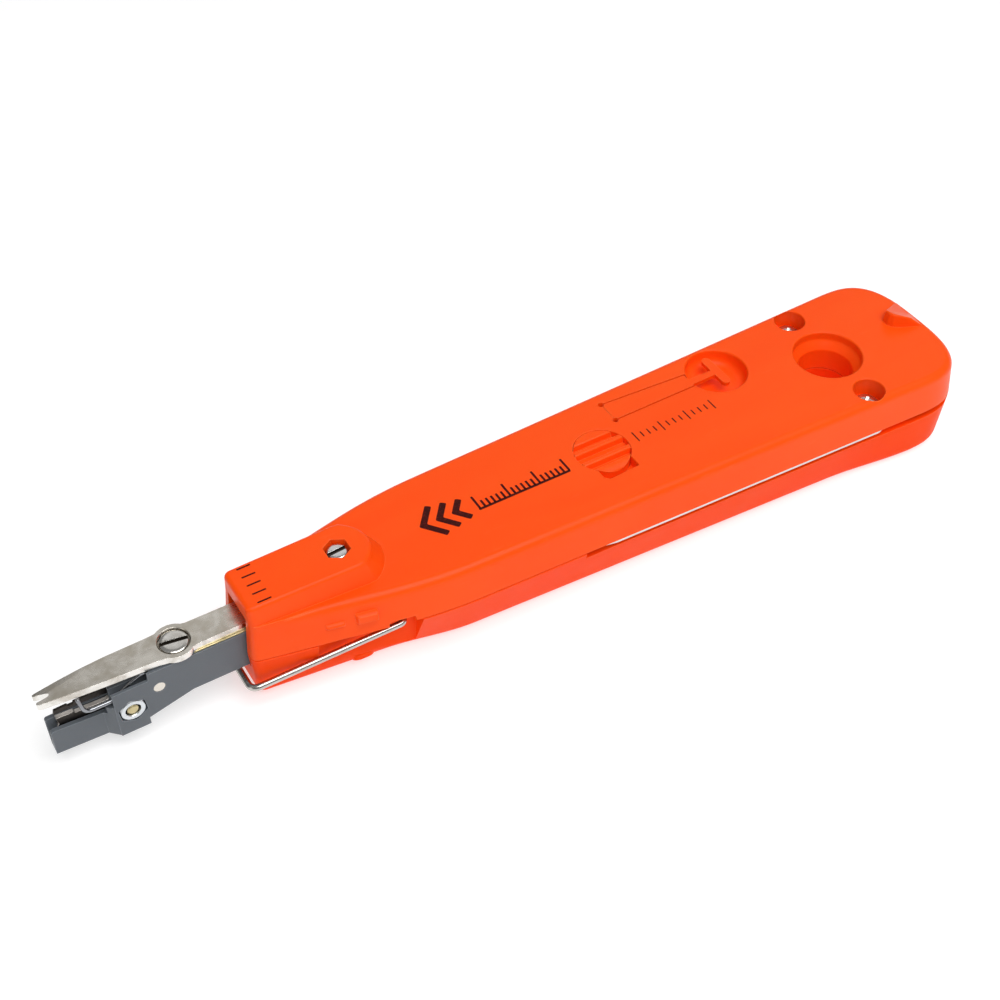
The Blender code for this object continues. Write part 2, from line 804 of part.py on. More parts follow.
def near_shoulder():
    """Lowers the arm's near wall towards the block, where the blades show."""
    bm = bmesh.new()
    outline = [(ARM_TIP_X - 1, ARM_TOP + 0.3), (ARM_TIP_X + 0.2, ARM_TOP), (BLOCK_FRONT_X - 1.0, ARM_REAR_TOP)]
    outline += [(BLOCK_FRONT_X - 1.0, ARM_TOP + 3)]
    outline += [(ARM_TIP_X - 1, ARM_TOP + 3)]
    add_prism(bm, outline, -STEM_HALF - 1, 0.2, axis="Y")
    return bm


def blade_slot():
    bm = bmesh.new()
    add_box(bm, (ARM_TIP_X - 1, -0.6, 6.4), (-73.4, 0.6, BLOCK_TOP + 1))
    return bm


def sensor_slot():
    """The side slot in the block where the sensor wire swings on the cross pin."""
    bm = bmesh.new()
    low_y = SENSOR_Y - 0.68
    high_y = SENSOR_Y + 0.68
    add_box(bm, (BLOCK_FRONT_X - 3, low_y, 10.6), (PIN_X - 1.0, high_y, STEM_TOP + 1))
    return bm


def sensor_eye_room():
    bm = bmesh.new()
    add_cylinder(bm, (PIN_X, PIN_Z), 2.35, SENSOR_Y - 0.68, SENSOR_Y + 0.68, axis="Y")
    return bm


def clamp_pocket():
    bm = bmesh.new()
    outline = hexagon(CLAMP_X, CLAMP_Z, NUT_CORNER + GAP, NUT_TILT)
    add_prism(bm, outline, -STEM_HALF - 1, -STEM_HALF + 1.6, axis="Y")
    add_cylinder(bm, (CLAMP_X, CLAMP_Z), 2.2, STEM_HALF - 0.9, STEM_HALF + 1, axis="Y")
    return bm


def head_bores():
    """Holes through the head for the cross pin, clamp screw and lever screw."""
    bm = bmesh.new()
    add_cylinder(bm, (PIN_X, PIN_Z), PIN_R + GAP, -5, 5, axis="Y", count=16)
    add_cylinder(bm, (CLAMP_X, CLAMP_Z), 1.25, -STEM_HALF + 0.5, 5, axis="Y", count=16)
    add_cylinder(bm, (PIVOT_X, 0), 1.55, 8.7, STEM_TOP + 1, count=16)
    return bm


def screw_slot():
    """The long slot that lets the stem slide past the nose screw."""
    bm = bmesh.new()
    half = 1.35
    points = arc((SCREW_X + 0.9, 0), half, -90, 90, 6)
    points += arc((SCREW_X - HEAD_TRAVEL - 0.9, 0), half, 90, 270, 6)
    add_prism(bm, points, STEM_BOTTOM - 2, STEM_TOP + 2)
    return bm


def build_head_body(material, parent):
    bm = bmesh.new()
    add_prism(bm, head_side(), -STEM_HALF, STEM_HALF, axis="Y")
    item = make_object(bm, "head_body", material, parent)
    carriage = bmesh.new()
    low = (CARRIAGE_X, -CARRIAGE_HALF, CARRIAGE_BOTTOM)
    add_box(carriage, low, (CARRIAGE_END_X, CARRIAGE_HALF, CARRIAGE_TOP))
    join(item, carriage)
    join(item, head_arm())
    cut(item, near_shoulder())
    cut(item, blade_slot())
    cut(item, sensor_slot())
    cut(item, sensor_eye_room())
    cut(item, clamp_pocket())
    cut(item, head_bores())
    cut(item, screw_slot())
    rod_way = bmesh.new()
    add_cylinder(rod_way, (0, SPRING_Z), ROD_R + 0.4, CARRIAGE_END_X - 12, CARRIAGE_END_X + 1, axis="X", count=16)
    cut(item, rod_way)
    return item


def build_inserter_blade(material, parent):
    """The bright steel blade that pushes the wire home, clamped in the block."""
    outline = [(-87.3, 7.0), (-87.3, 9.5), (-86.9, 9.9), (-87.2, 11.9), (-82.8, 11.2), (-78.8, 10.9)]
    outline += [(-77.0, 11.6), (-74.0, 11.6), (-73.8, 7.0)]
    bm = bmesh.new()
    add_prism(bm, outline, -0.25, 0.25, axis="Y")
    item = make_object(bm, "inserter_blade", material, parent)
    hole = bmesh.new()
    add_cylinder(hole, (CLAMP_X, CLAMP_Z), 1.3, -2, 2, axis="Y", count=16)
    cut(item, hole)
    return item


def build_fixed_blade(material, parent):
    """The dark cutting blade above the inserter."""
    outline = [(-87.0, 12.25), (-86.8, 13.2), (-77.5, 13.6), (-74.0, 13.6), (-73.9, 11.95), (-77.2, 11.95)]
    outline += [(-79.0, 11.3), (-82.6, 11.55)]
    bm = bmesh.new()
    add_prism(bm, outline, -0.25, 0.25, axis="Y")
    return make_object(bm, "fixed_blade", material, parent)


def build_cross_pin(material, parent):
    bm = bmesh.new()
    add_cylinder(bm, (PIN_X, PIN_Z), PIN_R, -STEM_HALF, STEM_HALF, axis="Y", count=20)
    return make_object(bm, "cross_pin", material, parent)


def build_clamp_nut(material, parent):
    bm = bmesh.new()
    outline = hexagon(CLAMP_X, CLAMP_Z, NUT_CORNER, NUT_TILT)
    add_prism(bm, outline, -STEM_HALF + 0.05, -STEM_HALF + 1.3, axis="Y")
    item = make_object(bm, "clamp_nut", material, parent)
    bore = bmesh.new()
    add_cylinder(bore, (CLAMP_X, CLAMP_Z), 1.25, -6, 0, axis="Y", count=16)
    cut(item, bore)
    return item


def build_clamp_screw(material, parent):
    bm = bmesh.new()
    add_cylinder(bm, (CLAMP_X, CLAMP_Z), 0.95, -STEM_HALF + 0.1, STEM_HALF - 0.3, axis="Y", count=16)
    item = make_object(bm, "clamp_screw", material, parent)
    head = bmesh.new()
    add_cylinder(head, (CLAMP_X, CLAMP_Z), 1.85, STEM_HALF - 0.6, STEM_HALF + 0.2, axis="Y", count=20)
    join(item, head)
    return item


def build_pivot_screw(material, parent):
    """The slotted countersunk screw that the lever turns on."""
    bm = bmesh.new()
    low = LEVER_TOP - LEVER_THICK
    add_cylinder(bm, (PIVOT_X, 0), 1.3, low, LEVER_TOP - 0.05, end_radius=2.45)
    item = make_object(bm, "pivot_screw", material, parent)
    shank = bmesh.new()
    add_cylinder(shank, (PIVOT_X, 0), 1.25, 9.2, low + 0.5, count=16)
    join(item, shank)
    slot = bmesh.new()
    add_box(slot, (PIVOT_X - 3, -0.25, LEVER_TOP - 0.5), (PIVOT_X + 3, 0.25, LEVER_TOP + 1))
    centre = (PIVOT_X, 0, 0)
    bmesh.ops.rotate(slot, verts=slot.verts, cent=centre, matrix=Matrix.Rotation(-0.14, 3, "Z"))
    cut(item, slot)
    return item


def lever_plan():
    """The lever's outline: fork tips, blade, round lobe at the pivot and a straight tail."""
    near = [(LEVER_TIP_X, -0.75), (LEVER_TIP_X + 0.5, -1.05), (-84.5, -1.55), (-77.8, -2.15)]
    near += [(-72.0, -2.45), (-69.0, -2.6)]
    lobe = [(PIVOT_X + x, y) for x, y in arc((0, 0), LEVER_LOBE, -128, -50, 6)]
    near += lobe + [(-62.9, -2.5), (LEVER_TAIL_X, -2.5)]
    far = [(x, -y) for x, y in reversed(near)]
    slot = [(LEVER_TIP_X, 0.5), (-87.2, 0.45), (-86.5, 0.2)]
    slot += [(-86.4, -0.2), (-87.2, -0.5), (LEVER_TIP_X, -0.45)]
    return near + far + slot


def build_scissor_lever(material, parent):
    bm = bmesh.new()
    low = LEVER_TOP - LEVER_THICK
    add_prism(bm, lever_plan(), low, LEVER_TOP)
    item = make_object(bm, "scissor_lever", material, parent)
    hole = bmesh.new()
    add_cylinder(hole, (PIVOT_X, 0), 1.45, low - 0.16, LEVER_TOP + 0.12, end_radius=3.0)
    cut(item, hole)
    return item


def build_sensor_wire(material, parent):
    """The bent wire that feels for the conductor, with its eye round the cross pin."""
    eye = 1.75
    points = [(PIN_X + x, SENSOR_Y, PIN_Z + z) for x, z in arc((0, 0), eye, -60, 150, 10)]
    points += [(-73.4, SENSOR_Y, 11.95), (-78.5, SENSOR_Y, 11.7), (-81.4, SENSOR_Y, 11.7)]
    bend = arc((-81.5, 13.05), 1.35, -90, -180, 5)
    points += [(x - 0.25, SENSOR_Y, z) for x, z in bend]
    points += [(-83.15, SENSOR_Y, 15.4)]
    return make_wire("sensor_wire", points, SENSOR_R, material, parent)


def build_sensor_spring(material, parent):
    """A straight spring wire that rests above the sensor wire."""
    points = [(-72.25, SENSOR_Y, 14.85), (-73.4, SENSOR_Y, 14.75), (-76.8, SENSOR_Y, 12.85)]
    return make_wire("sensor_spring", points, 0.22, material, parent, sides=1)


# ---------------------------------------------------------------- inside the casing


def build_cam_insert(material):
    """The brass cam beside the lever's tail, which swings it as the head is pushed in."""
    outline = [(-53.6, -4.0), (-53.6, -3.0), (-50.4, -3.0), (-41.9, -1.15), (-41.5, -1.15), (-41.5, -4.0)]
    bm = bmesh.new()
    add_prism(bm, outline, STEM_TOP + GAP, 18.6)
    return make_object(bm, "cam_insert", material)


def build_main_spring(material):
    start = CARRIAGE_END_X + GAP + SPRING_WIRE
    length = SPRING_SEAT_X - GAP - SPRING_WIRE - start
    points = helix((start, 0, SPRING_Z), "X", length, SPRING_R, 13, 12)
    return make_wire("main_spring", points, SPRING_WIRE, material, sides=1)


def build_spring_rod(material):
    bm = bmesh.new()
    add_cylinder(bm, (0, SPRING_Z), ROD_R, -14.0, SPRING_SEAT_X + 1.3, axis="X", count=16)
    return make_object(bm, "spring_rod", material)


def build_retainer_plate(material):
    """The steel plate over both folding pivots, which also carries the button's spring."""
    bm = bmesh.new()
    outline = [(6.0, -11.4), (21.5, -11.4), (21.5, 11.4), (6.0, 11.4)]
    add_prism(bm, outline, PLATE_Z, PLATE_Z + PLATE_THICK)
    item = make_object(bm, "retainer_plate", material)
    holes = bmesh.new()
    for side in (-1, 1):
        add_cylinder(holes, (FOLD_X, side * FOLD_Y), 1.3, PLATE_Z - 1, PLATE_Z + 2, count=16)
    cut(item, holes)
    return item


def build_fold_pin(name, side, material):
    bm = bmesh.new()
    add_cylinder(bm, (FOLD_X, side * FOLD_Y), 1.0, 6.8, 12.4, count=16)
    return make_object(bm, name, material)


def rim_half(x):
    """Half-width of the casing at the seam."""
    return top_half_width(x) + DRAFT


def fold_outline(side, tip_cut):
    """Plan of a fold-out tool: round root, straight outer edge and a tapering inner edge."""
    outer = 0.2
    points = [(x, y) for x, y in arc((FOLD_X, FOLD_Y), FOLD_ROOT, -60, -180, 8)]
    points += [(FOLD_X - FOLD_ROOT, 11.6), (FOLD_X - FOLD_ROOT + 0.9, rim_half(7.5) - outer - 0.3)]
    points += [(FOLD_X - 1.0, rim_half(FOLD_X) - outer), (FOLD_TIP_X - 1.2, rim_half(67) - outer)]
    points += [(FOLD_TIP_X, rim_half(68) - 0.55)]
    points += tip_cut
    points += [(20.0, 7.4)]
    return [(x, side * y) for x, y in points]


def build_fold_tool(name, side, tip_cut, material, parent):
    bm = bmesh.new()
    add_prism(bm, fold_outline(side, tip_cut), FOLD_BOTTOM, FOLD_TOP)
    item = make_object(bm, name, material, parent)
    hole = bmesh.new()
    add_cylinder(hole, (FOLD_X, side * FOLD_Y), 1.35, FOLD_BOTTOM - 1, FOLD_TOP + 1, count=16)
    cut(item, hole)
    return item


# ---------------------------------------------------------------- controls


def groove(y0, y1, depth):
    bm = bmesh.new()
    add_box(bm, (BUTTON_X - 8, y0, TOP_Z - depth), (BUTTON_X + 8, y1, TOP_Z + 1))
    return bm


def build_round_button(material, parent):
    """The round button with ribs along X and two tabs that keep it in the casing."""
    bm = bmesh.new()
    add_cylinder(bm, (BUTTON_X, BUTTON_Y), BUTTON_R, 15.0, TOP_Z - 0.02, count=32)
    item = make_object(bm, "round_button", material, parent)
    tabs = bmesh.new()
    add_box(tabs, (BUTTON_X - 7.4, -2.0, 14.8), (BUTTON_X + 7.4, 2.4, CEILING_Z - GAP))
    join(item, tabs)
    for y0, y1 in ((1.75, 2.5), (0.1, 0.85), (-1.55, -0.8)):
        cut(item, groove(BUTTON_Y + y0 - 0.2, BUTTON_Y + y1 - 0.2, 1.0))
    return item


def build_button_spring(material, parent):
    low = PLATE_Z + PLATE_THICK + GAP + 0.25
    high = 14.8 - GAP - 0.25
    points = helix((BUTTON_X, BUTTON_Y, low), "Z", high - low, 2.6, 2.5, 12)
    return make_wire("button_spring", points, 0.25, material, parent, sides=1)


def build_release_tongue(material, parent):
    """The sprung tongue in the top face, which ends in a T over its recess."""
    edge = T_X - T_RECESS - 0.6
    outline = [
        (TONGUE_ROOT_X, 5.6), (edge, 5.9), (edge, 6.2), (T_X - 0.9, 6.2), (T_X - 1.0, 3.9),
        (T_X - 0.2, 3.3), (T_X + 0.7, 3.9), (T_X + 0.8, 10.7), (T_X, 11.3), (T_X - 0.8, 10.7),
        (T_X - 0.8, 7.8), (edge, 7.8), (edge, 9.1), (TONGUE_ROOT_X, 10.1),
    ]
    bm = bmesh.new()
    add_prism(bm, outline, TOP_Z - 1.3, TOP_Z - 0.02)
    return make_object(bm, "release_tongue", material, parent)


def bail_path():
    """The bail's centre line, from one inturned end round the front to the other."""
    arm = Vector((BAIL_X - BAIL_FRONT_X, BAIL_ARM_Y - BAIL_FRONT_Y, BAIL_Z - BAIL_FRONT_Z))
    arm.normalize()
    end = Vector((BAIL_X, BAIL_ARM_Y, BAIL_Z))
    front = Vector((BAIL_FRONT_X, BAIL_FRONT_Y, BAIL_FRONT_Z))
    half = [Vector((BAIL_X, 7.6, BAIL_Z)), end + Vector((0, -0.8, 0))]
    half += [end + Vector((-0.25, -0.22, -0.05)), end - arm * 0.9]
    half += [front + arm * 1.9, front + arm * 0.75 + Vector((0, -0.12, 0))]
    half += [front + Vector((0.12, -0.65, 0.02)), front + Vector((0, -1.8, 0))]
    mirrored = [Vector((p.x, -p.y, p.z)) for p in reversed(half)]
    return half + mirrored


def build_lock_bail(material, parent):
    return make_wire("lock_bail", bail_path(), BAIL_WIRE, material, parent)


def main():
    clear_scene()
    orange = make_material("orange_plastic", (1.0, 0.10, 0.02), 0.35)
    orange_dark = make_material("orange_plastic_lower", (0.95, 0.08, 0.015), 0.38)
    orange_button = make_material("orange_button", (1.0, 0.11, 0.02), 0.32)
    orange_tongue = make_material("orange_tongue", (1.0, 0.10, 0.02), 0.34)
    grey = make_material("grey_plastic", (0.13, 0.14, 0.155), 0.45)
    nickel = make_material("nickel_plate", (0.62, 0.59, 0.54), 0.28, 1.0)
    steel = make_material("bright_steel", (0.70, 0.70, 0.70), 0.22, 1.0)
    dark_steel = make_material("dark_steel", (0.16, 0.14, 0.13), 0.35, 1.0)
    zinc = make_material("zinc_plate", (0.66, 0.70, 0.72), 0.3, 1.0)
    brass = make_material("brass", (0.72, 0.52, 0.22), 0.3, 1.0)
    spring = make_material("spring_steel", (0.45, 0.45, 0.46), 0.3, 1.0)
    wire = make_material("steel_wire", (0.72, 0.72, 0.72), 0.18, 1.0)

    head = make_axis("axis_head", (PIVOT_X, 0, STEM_TOP))
    lever = make_axis("axis_lever", (PIVOT_X, 0, LEVER_TOP))
    sensor = make_axis("axis_sensor", (PIN_X, 0, PIN_Z))
    bail = make_axis("axis_bail", (BAIL_X, 0, BAIL_Z))
    near_fold = make_axis("axis_near_fold", (FOLD_X, -FOLD_Y, FOLD_BOTTOM))
    far_fold = make_axis("axis_far_fold", (FOLD_X, FOLD_Y, FOLD_BOTTOM))
    button = make_axis("axis_button", (BUTTON_X, BUTTON_Y, TOP_Z))
    tongue = make_axis("axis_tongue", (TONGUE_ROOT_X, 7.8, TOP_Z - 0.65))

    build_upper_shell(orange)
    build_lower_shell(orange_dark)
    build_nose_screw(steel)
    build_nose_nut(zinc)
    build_butt_screw("butt_screw_far", 1, steel)
    build_butt_screw("butt_screw_near", -1, steel)
    build_cam_insert(brass)
    build_main_spring(spring)
    build_spring_rod(steel)
    build_retainer_plate(zinc)
    build_fold_pin("blade_pin", -1, steel)
    build_fold_pin("hook_pin", 1, steel)

    build_head_body(grey, head)
    build_inserter_blade(steel, head)
    build_fixed_blade(dark_steel, head)
    build_cross_pin(nickel, head)
    build_clamp_nut(zinc, head)
    build_clamp_screw(brass, head)
    build_pivot_screw(nickel, head)
    build_sensor_spring(spring, head)
    build_scissor_lever(nickel, lever)
    build_sensor_wire(wire, sensor)

    blade_tip = [(62.0, 14.75), (50.0, 12.6)]
    hook_tip = [(66.6, 15.0), (66.0, 15.3), (64.8, 15.3), (64.3, 14.9), (50.0, 12.6)]
    build_fold_tool("fold_out_blade", -1, blade_tip, steel, near_fold)
    build_fold_tool("fold_out_hook", 1, hook_tip, steel, far_fold)
    build_round_button(orange_button, button)
    build_button_spring(spring, button)
    build_release_tongue(orange_tongue, tongue)
    build_lock_bail(wire, bail)


main()
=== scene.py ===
"""Looks of the punch down tool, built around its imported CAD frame.

Shapes are drawn in millimetres, in the frame's axes, and made into meshes in metres.
"""

from math import atan2, cos, hypot, radians, sin, tau

import bmesh
import bpy
from mathutils import Matrix, Vector


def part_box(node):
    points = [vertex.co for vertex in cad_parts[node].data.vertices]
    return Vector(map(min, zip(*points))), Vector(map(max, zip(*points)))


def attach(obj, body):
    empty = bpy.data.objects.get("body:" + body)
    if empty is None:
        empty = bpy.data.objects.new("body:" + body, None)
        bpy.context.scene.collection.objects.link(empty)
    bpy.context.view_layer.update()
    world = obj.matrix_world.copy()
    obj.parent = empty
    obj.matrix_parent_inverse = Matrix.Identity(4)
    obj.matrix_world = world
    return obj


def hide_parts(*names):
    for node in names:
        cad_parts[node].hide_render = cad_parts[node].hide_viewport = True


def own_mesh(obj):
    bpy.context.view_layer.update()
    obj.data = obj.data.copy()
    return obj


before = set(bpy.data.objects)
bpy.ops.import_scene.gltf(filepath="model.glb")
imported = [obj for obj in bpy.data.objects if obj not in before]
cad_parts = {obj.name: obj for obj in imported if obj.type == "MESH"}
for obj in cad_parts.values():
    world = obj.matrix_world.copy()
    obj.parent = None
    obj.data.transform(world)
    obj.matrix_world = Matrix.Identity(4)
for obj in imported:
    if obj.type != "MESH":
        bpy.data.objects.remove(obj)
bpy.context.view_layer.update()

MM = 0.001


def span(node):
    """A CAD node's lowest and highest corner, in millimetres."""
    low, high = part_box(node)
    return low / MM, high / MM


def middle(node):
    low, high = span(node)
    return (low + high) / 2


# ---- sizes taken from the frame

UPPER_LOW, UPPER_HIGH = span("upper_shell")
BUTTON_LOW, BUTTON_HIGH = span("round_button")
LEVER_LOW, LEVER_HIGH = span("scissor_lever")
HEAD_LOW, HEAD_HIGH = span("head_body")
TONGUE_LOW = span("release_tongue")[0]
BUTT_SCREW = middle("butt_screw_far")
SIDES = (-1, 1)
BUTT_SCREWS = [(BUTT_SCREW.x, side * BUTT_SCREW.y) for side in SIDES]
SCREW_X = middle("nose_screw").x
PIVOT_X = middle("pivot_screw").x
BUTTON_X = middle("round_button").x
PIN_X, _, PIN_Z = middle("cross_pin")
CLAMP_X, _, CLAMP_Z = middle("clamp_nut")
PAD_Z = UPPER_HIGH.z - 0.015
SEAM_Z = (UPPER_LOW.z + span("lower_shell")[1].z) / 2
TOP_Z = BUTTON_HIGH.z + 0.02

# ---- sizes of the casing

NOSE_X = -55.2
NOSE_HALF = 5.3
NOSE_SLOPE = 0.218
NOSE_CORNER = 1.2
CORNER_STEPS = 5
SHOULDER_START = -33
SHOULDER_END = -17
SHOULDER_RUN = SHOULDER_END - SHOULDER_START
SHOULDER_HALF = 12.2
BODY_SLOPE = 0.035
BUTT_START = 76.7
BUTT_LENGTH = 11.8
BUTT_POWER = 3
BUTT_STEPS = 30
DRAFT = 0.6
TOP_FILLET = 1.6
FILLET_STEPS = 7
CREST_START = -52
CREST_RUN = 10
PAD_FILLET = 0.85
SEAM_GAP = 0.1
SEAM_CHAMFER = 0.14
UPPER_EDGE = SEAM_Z + SEAM_GAP
LOWER_EDGE = SEAM_Z - SEAM_GAP
WALL = 1.6
CEILING_Z = 16.3
FLOOR_Z = 2

BOTTOM_NOSE_HALF = 4.3
BOTTOM_NOSE_SLOPE = 0.1
BOTTOM_WAIST_HALF = 9.5
BOTTOM_WAIST_SLOPE = 0.052
BOTTOM_FILLET = 2
BOTTOM_BUTT = BUTT_LENGTH + DRAFT - 1
HEEL_START = 58
HEEL_GROWTH = 1.2

HOLE_X = 65.9
HOLE_RIM = 6.5
HOLE_BORE = 5.15
HOLE_TUBE = 8
BUTT_RECESS = 2.94
BUTT_RECESS_Z = 14.7
BUTTON_Y = 0.2
BUTTON_R = 5.12
T_X = 45.1
T_Y = 7.07
T_RECESS = 5.8
T_FLOOR_Z = 15.6
T_BAR = 0.85
ROOT_X = TONGUE_LOW.x
TONGUE_HOLES_Y = (5.5, 10.22)

SLOT_START_X = 3.2
SLOT_FLOOR_Z = 9.45
FINGER_END_X = 85
FOLD_PINS = [(10.5, side * 9.6) for side in SIDES]

# ---- sizes of the head, the bail and the screws

STEM_HALF = 3
STEM_WAY = STEM_HALF + 0.4
STEM_TOP = 15.45
STEM_BOTTOM = 7.5
STEM_REAR_X = -29
BLOCK_TOP = 13.9
BLOCK_BOTTOM = 3.8
BLOCK_FRONT_X = -78.3
BLOCK_REAR_X = -73.3
ARM_TIP_X = -88.4
ARM_HALF = 1.3
ARM_TOP = 10.8
ARM_REAR_TOP = 9.2
SENSOR_Y = -1.9
SPRING_Z = 6.85

BAIL_WIRE = 0.6
BAIL_X = -30.4
BAIL_Z = 9.9
BAIL_ARM_Y = 9.95
BAIL_FRONT_X = -57
BAIL_FRONT_Y = 6.1
BAIL_FRONT_Z = 4.9
POCKET_FRONT_X = -45.3
POCKET_REAR_X = -27.8

NUT_CORNER = 2.31
NUT_TILT = -24
SLOT_HALF = 0.36


# ---- outlines


def waisted(x, nose, nose_slope, waist, waist_slope):
    """A half width that runs straight along nose and body, with a cubic between."""
    if x <= SHOULDER_START:
        return nose + nose_slope * (x - NOSE_X)
    if x >= SHOULDER_END:
        return waist + waist_slope * (x - SHOULDER_END)
    start = nose + nose_slope * (SHOULDER_START - NOSE_X)
    t = (x - SHOULDER_START) / SHOULDER_RUN
    a = (2 * t**3 - 3 * t**2 + 1) * start + (t**3 - 2 * t**2 + t) * SHOULDER_RUN * nose_slope
    return a + ((-2 * t**3 + 3 * t**2) * waist + (t**3 - t**2) * SHOULDER_RUN * waist_slope)


def top_half(x):
    return waisted(x, NOSE_HALF, NOSE_SLOPE, SHOULDER_HALF, BODY_SLOPE)


def bottom_half(x):
    """Half of the width where the lower walls would meet the bottom."""
    nose = (BOTTOM_NOSE_HALF, BOTTOM_NOSE_SLOPE)
    t = max(0, (x - HEEL_START) / (BUTT_START - HEEL_START))
    heel = HEEL_GROWTH * t * t * (3 - 2 * t)
    return waisted(x, *nose, BOTTOM_WAIST_HALF, BOTTOM_WAIST_SLOPE) + heel


STATIONS = [-50, -44, -38]
STATIONS += [SHOULDER_START + SHOULDER_RUN * i / 14 for i in range(15)]
STATIONS += [-2, 13, 28, 43] + [HEEL_START + 2.3 * i for i in range(8)]


def quarter(steps):
    return [(sin(a), cos(a)) for a in (radians(90) * i / steps for i in range(steps + 1))]


def both_sides(near, shared=1):
    """A near half outline and its mirror image, with so many points in common."""
    return near + [(x, -y) for x, y in near[::-1][shared:]]


def plan(half_width, grow, front=NOSE_X, butt=BUTT_LENGTH):
    """The casing's outline, grown by a distance all round."""
    near = []
    for s, c in reversed(quarter(CORNER_STEPS)):
        x = front - grow + NOSE_CORNER * (1 - s)
        near.append((x, -(half_width(x) + grow - NOSE_CORNER * (1 - c))))
    near += [(x, -(half_width(x) + grow)) for x in STATIONS if x > front + 4.5]
    power = 2 / BUTT_POWER
    butt_half = half_width(BUTT_START) + grow
    for s, c in quarter(BUTT_STEPS):
        near.append((BUTT_START + (butt + grow) * s**power, -butt_half * max(0, c) ** power))
    return both_sides(near)


def ring(shape, h, axis="Z"):
    """An outline at a place along an axis."""
    k = "XYZ".index(axis)
    return [(*pair[:k], h, *pair[k:]) for pair in shape]


def between(a, b, share):
    """An outline part of the way from one to another."""
    return [(p[0] + (q[0] - p[0]) * share, p[1] + (q[1] - p[1]) * share) for p, q in zip(a, b)]


def grown(shape, distance):
    """An outline moved outward, corners kept sharp."""
    area = sum(p[0] * q[1] - q[0] * p[1] for p, q in zip(shape, shape[1:] + shape[:1]))
    sign = 1 if area > 0 else -1
    result = []
    for i, point in enumerate(shape):
        here = Vector(point)
        before = (here - Vector(shape[i - 1])).normalized()
        after = (Vector(shape[(i + 1) % len(shape)]) - here).normalized()
        n1 = Vector((before.y, -before.x)) * sign
        n2 = Vector((after.y, -after.x)) * sign
        miter = (n1 + n2) / max(0.35, 1 + n1.dot(n2))
        result.append(tuple(here + miter * distance))
    return result


def circle(cx, cy, radius, count=64, start=0):
    angles = [start + i * (tau / count) for i in range(count)]
    return [(cx + radius * cos(a), cy + radius * sin(a)) for a in angles]


def arc(cx, cy, radius, start, end, count):
    """Points of an arc, with angles in degrees, ends included."""
    angles = [radians(start + (end - start) * i / count) for i in range(count + 1)]
    return [(cx + radius * cos(a), cy + radius * sin(a)) for a in angles]


def hexagon(cx, cy, corner, start=90):
    return circle(cx, cy, corner, 6, radians(start))


def box(x0, y0, x1, y1):
    return [(x0, y0), (x1, y0), (x1, y1), (x0, y1)]


def bend(before, here, after, radius, steps, limit):
    """A curve around a corner, kept to a share of its two sides."""
    back = before - here
    ahead = after - here
    reach = min(radius, back.length * limit, ahead.length * limit)
    a = here + back.normalized() * reach
    b = here + ahead.normalized() * reach
    shares = [k / steps for k in range(steps + 1)]
    return [a * (1 - t) ** 2 + here * 2 * t * (1 - t) + b * t * t for t in shares]


def softened(shape, radius, steps=4):
    corners = [Vector(point) for point in shape]
    result = []
    for before, here, after in zip(corners[-1:] + corners, corners, corners[1:] + corners[:1]):
        result += [tuple(point) for point in bend(before, here, after, radius, steps, 0.45)]
    return result


def rounded(radius, steps, first=1):
    """Insets and drops of a rounded edge, from its side to its top."""
    return [(radius * (1 - c), radius * (1 - s)) for s, c in quarter(steps)[first:]]


def lip_steps(lip):
    """Steps outward and upward of the rounded edge around an opening."""
    return [(lip * (1 - cos(a)), lip * sin(a)) for a in (radians(d) for d in (25, 50, 75))]


# ---- solids


def loft(rings, bm=None):
    """A closed solid through rings with the same count of points."""
    bm = bm or bmesh.new()
    loops = [[bm.verts.new(point) for point in points] for points in rings]
    count = len(loops[0])
    for lower, upper in zip(loops, loops[1:]):
        for i in range(count):
            j = (i + 1) % count
            bm.faces.new((lower[i], lower[j], upper[j], upper[i]))
    bm.faces.new(loops[0])
    bm.faces.new(loops[-1])
    return bm


def prism(shape, low, high, axis="Z", bm=None):
    return loft([ring(shape, low, axis), ring(shape, high, axis)], bm)


def block(low, high):
    return prism(box(low[0], low[1], high[0], high[1]), low[2], high[2])


def turned(cx, cy, profile, count=64, axis="Z"):
    """A solid of revolution, from pairs of radius and place along its axis."""
    return loft([ring(circle(cx, cy, r, count), h, axis) for r, h in profile])


def post(cx, cy, radius, low, high, count=64, axis="Z"):
    return turned(cx, cy, [(radius, low), (radius, high)], count, axis)


def bar(centre, profile, count=40):
    return turned(*centre, profile, count, "Y")


def rod(centre, radius, low, high):
    return post(*centre, radius, low, high, 40, "Y")


def mouth(shape, floor, top, lip=0.25):
    """A cutter whose opening at the height top gets a rounded edge."""
    rings = [ring(shape, floor), ring(shape, top - lip)]
    rings += [ring(grown(shape, out), top - lip + up) for out, up in lip_steps(lip)]
    wide = grown(shape, lip * 0.87 + 0.37)
    return loft(rings + [ring(wide, top + 0.1), ring(wide, top + 2.5)])


def round_mouth(radius, top, lip=0.35):
    """The upper end of a turned cutter's profile, with the same rounded edge."""
    profile = [(radius, top - lip)]
    profile += [(radius + out, top - lip + up) for out, up in lip_steps(lip)]
    return profile + [(radius + lip * 0.87 + 0.37, top + 0.1), (radius + 1, top + 2)]


def spin(bm, x, y, turn):
    matrix = Matrix.Rotation(radians(turn), 3, "Z")
    bmesh.ops.rotate(bm, verts=bm.verts, cent=(x, y, 0), matrix=matrix)
    return bm


def is_flat(face):
    start = face.verts[0].co
    return all(abs((vert.co - start).dot(face.normal)) < 1e-4 for vert in face.verts)


def linked(name, data):
    item = bpy.data.objects.new(name, data)
    bpy.context.scene.collection.objects.link(item)
    return item


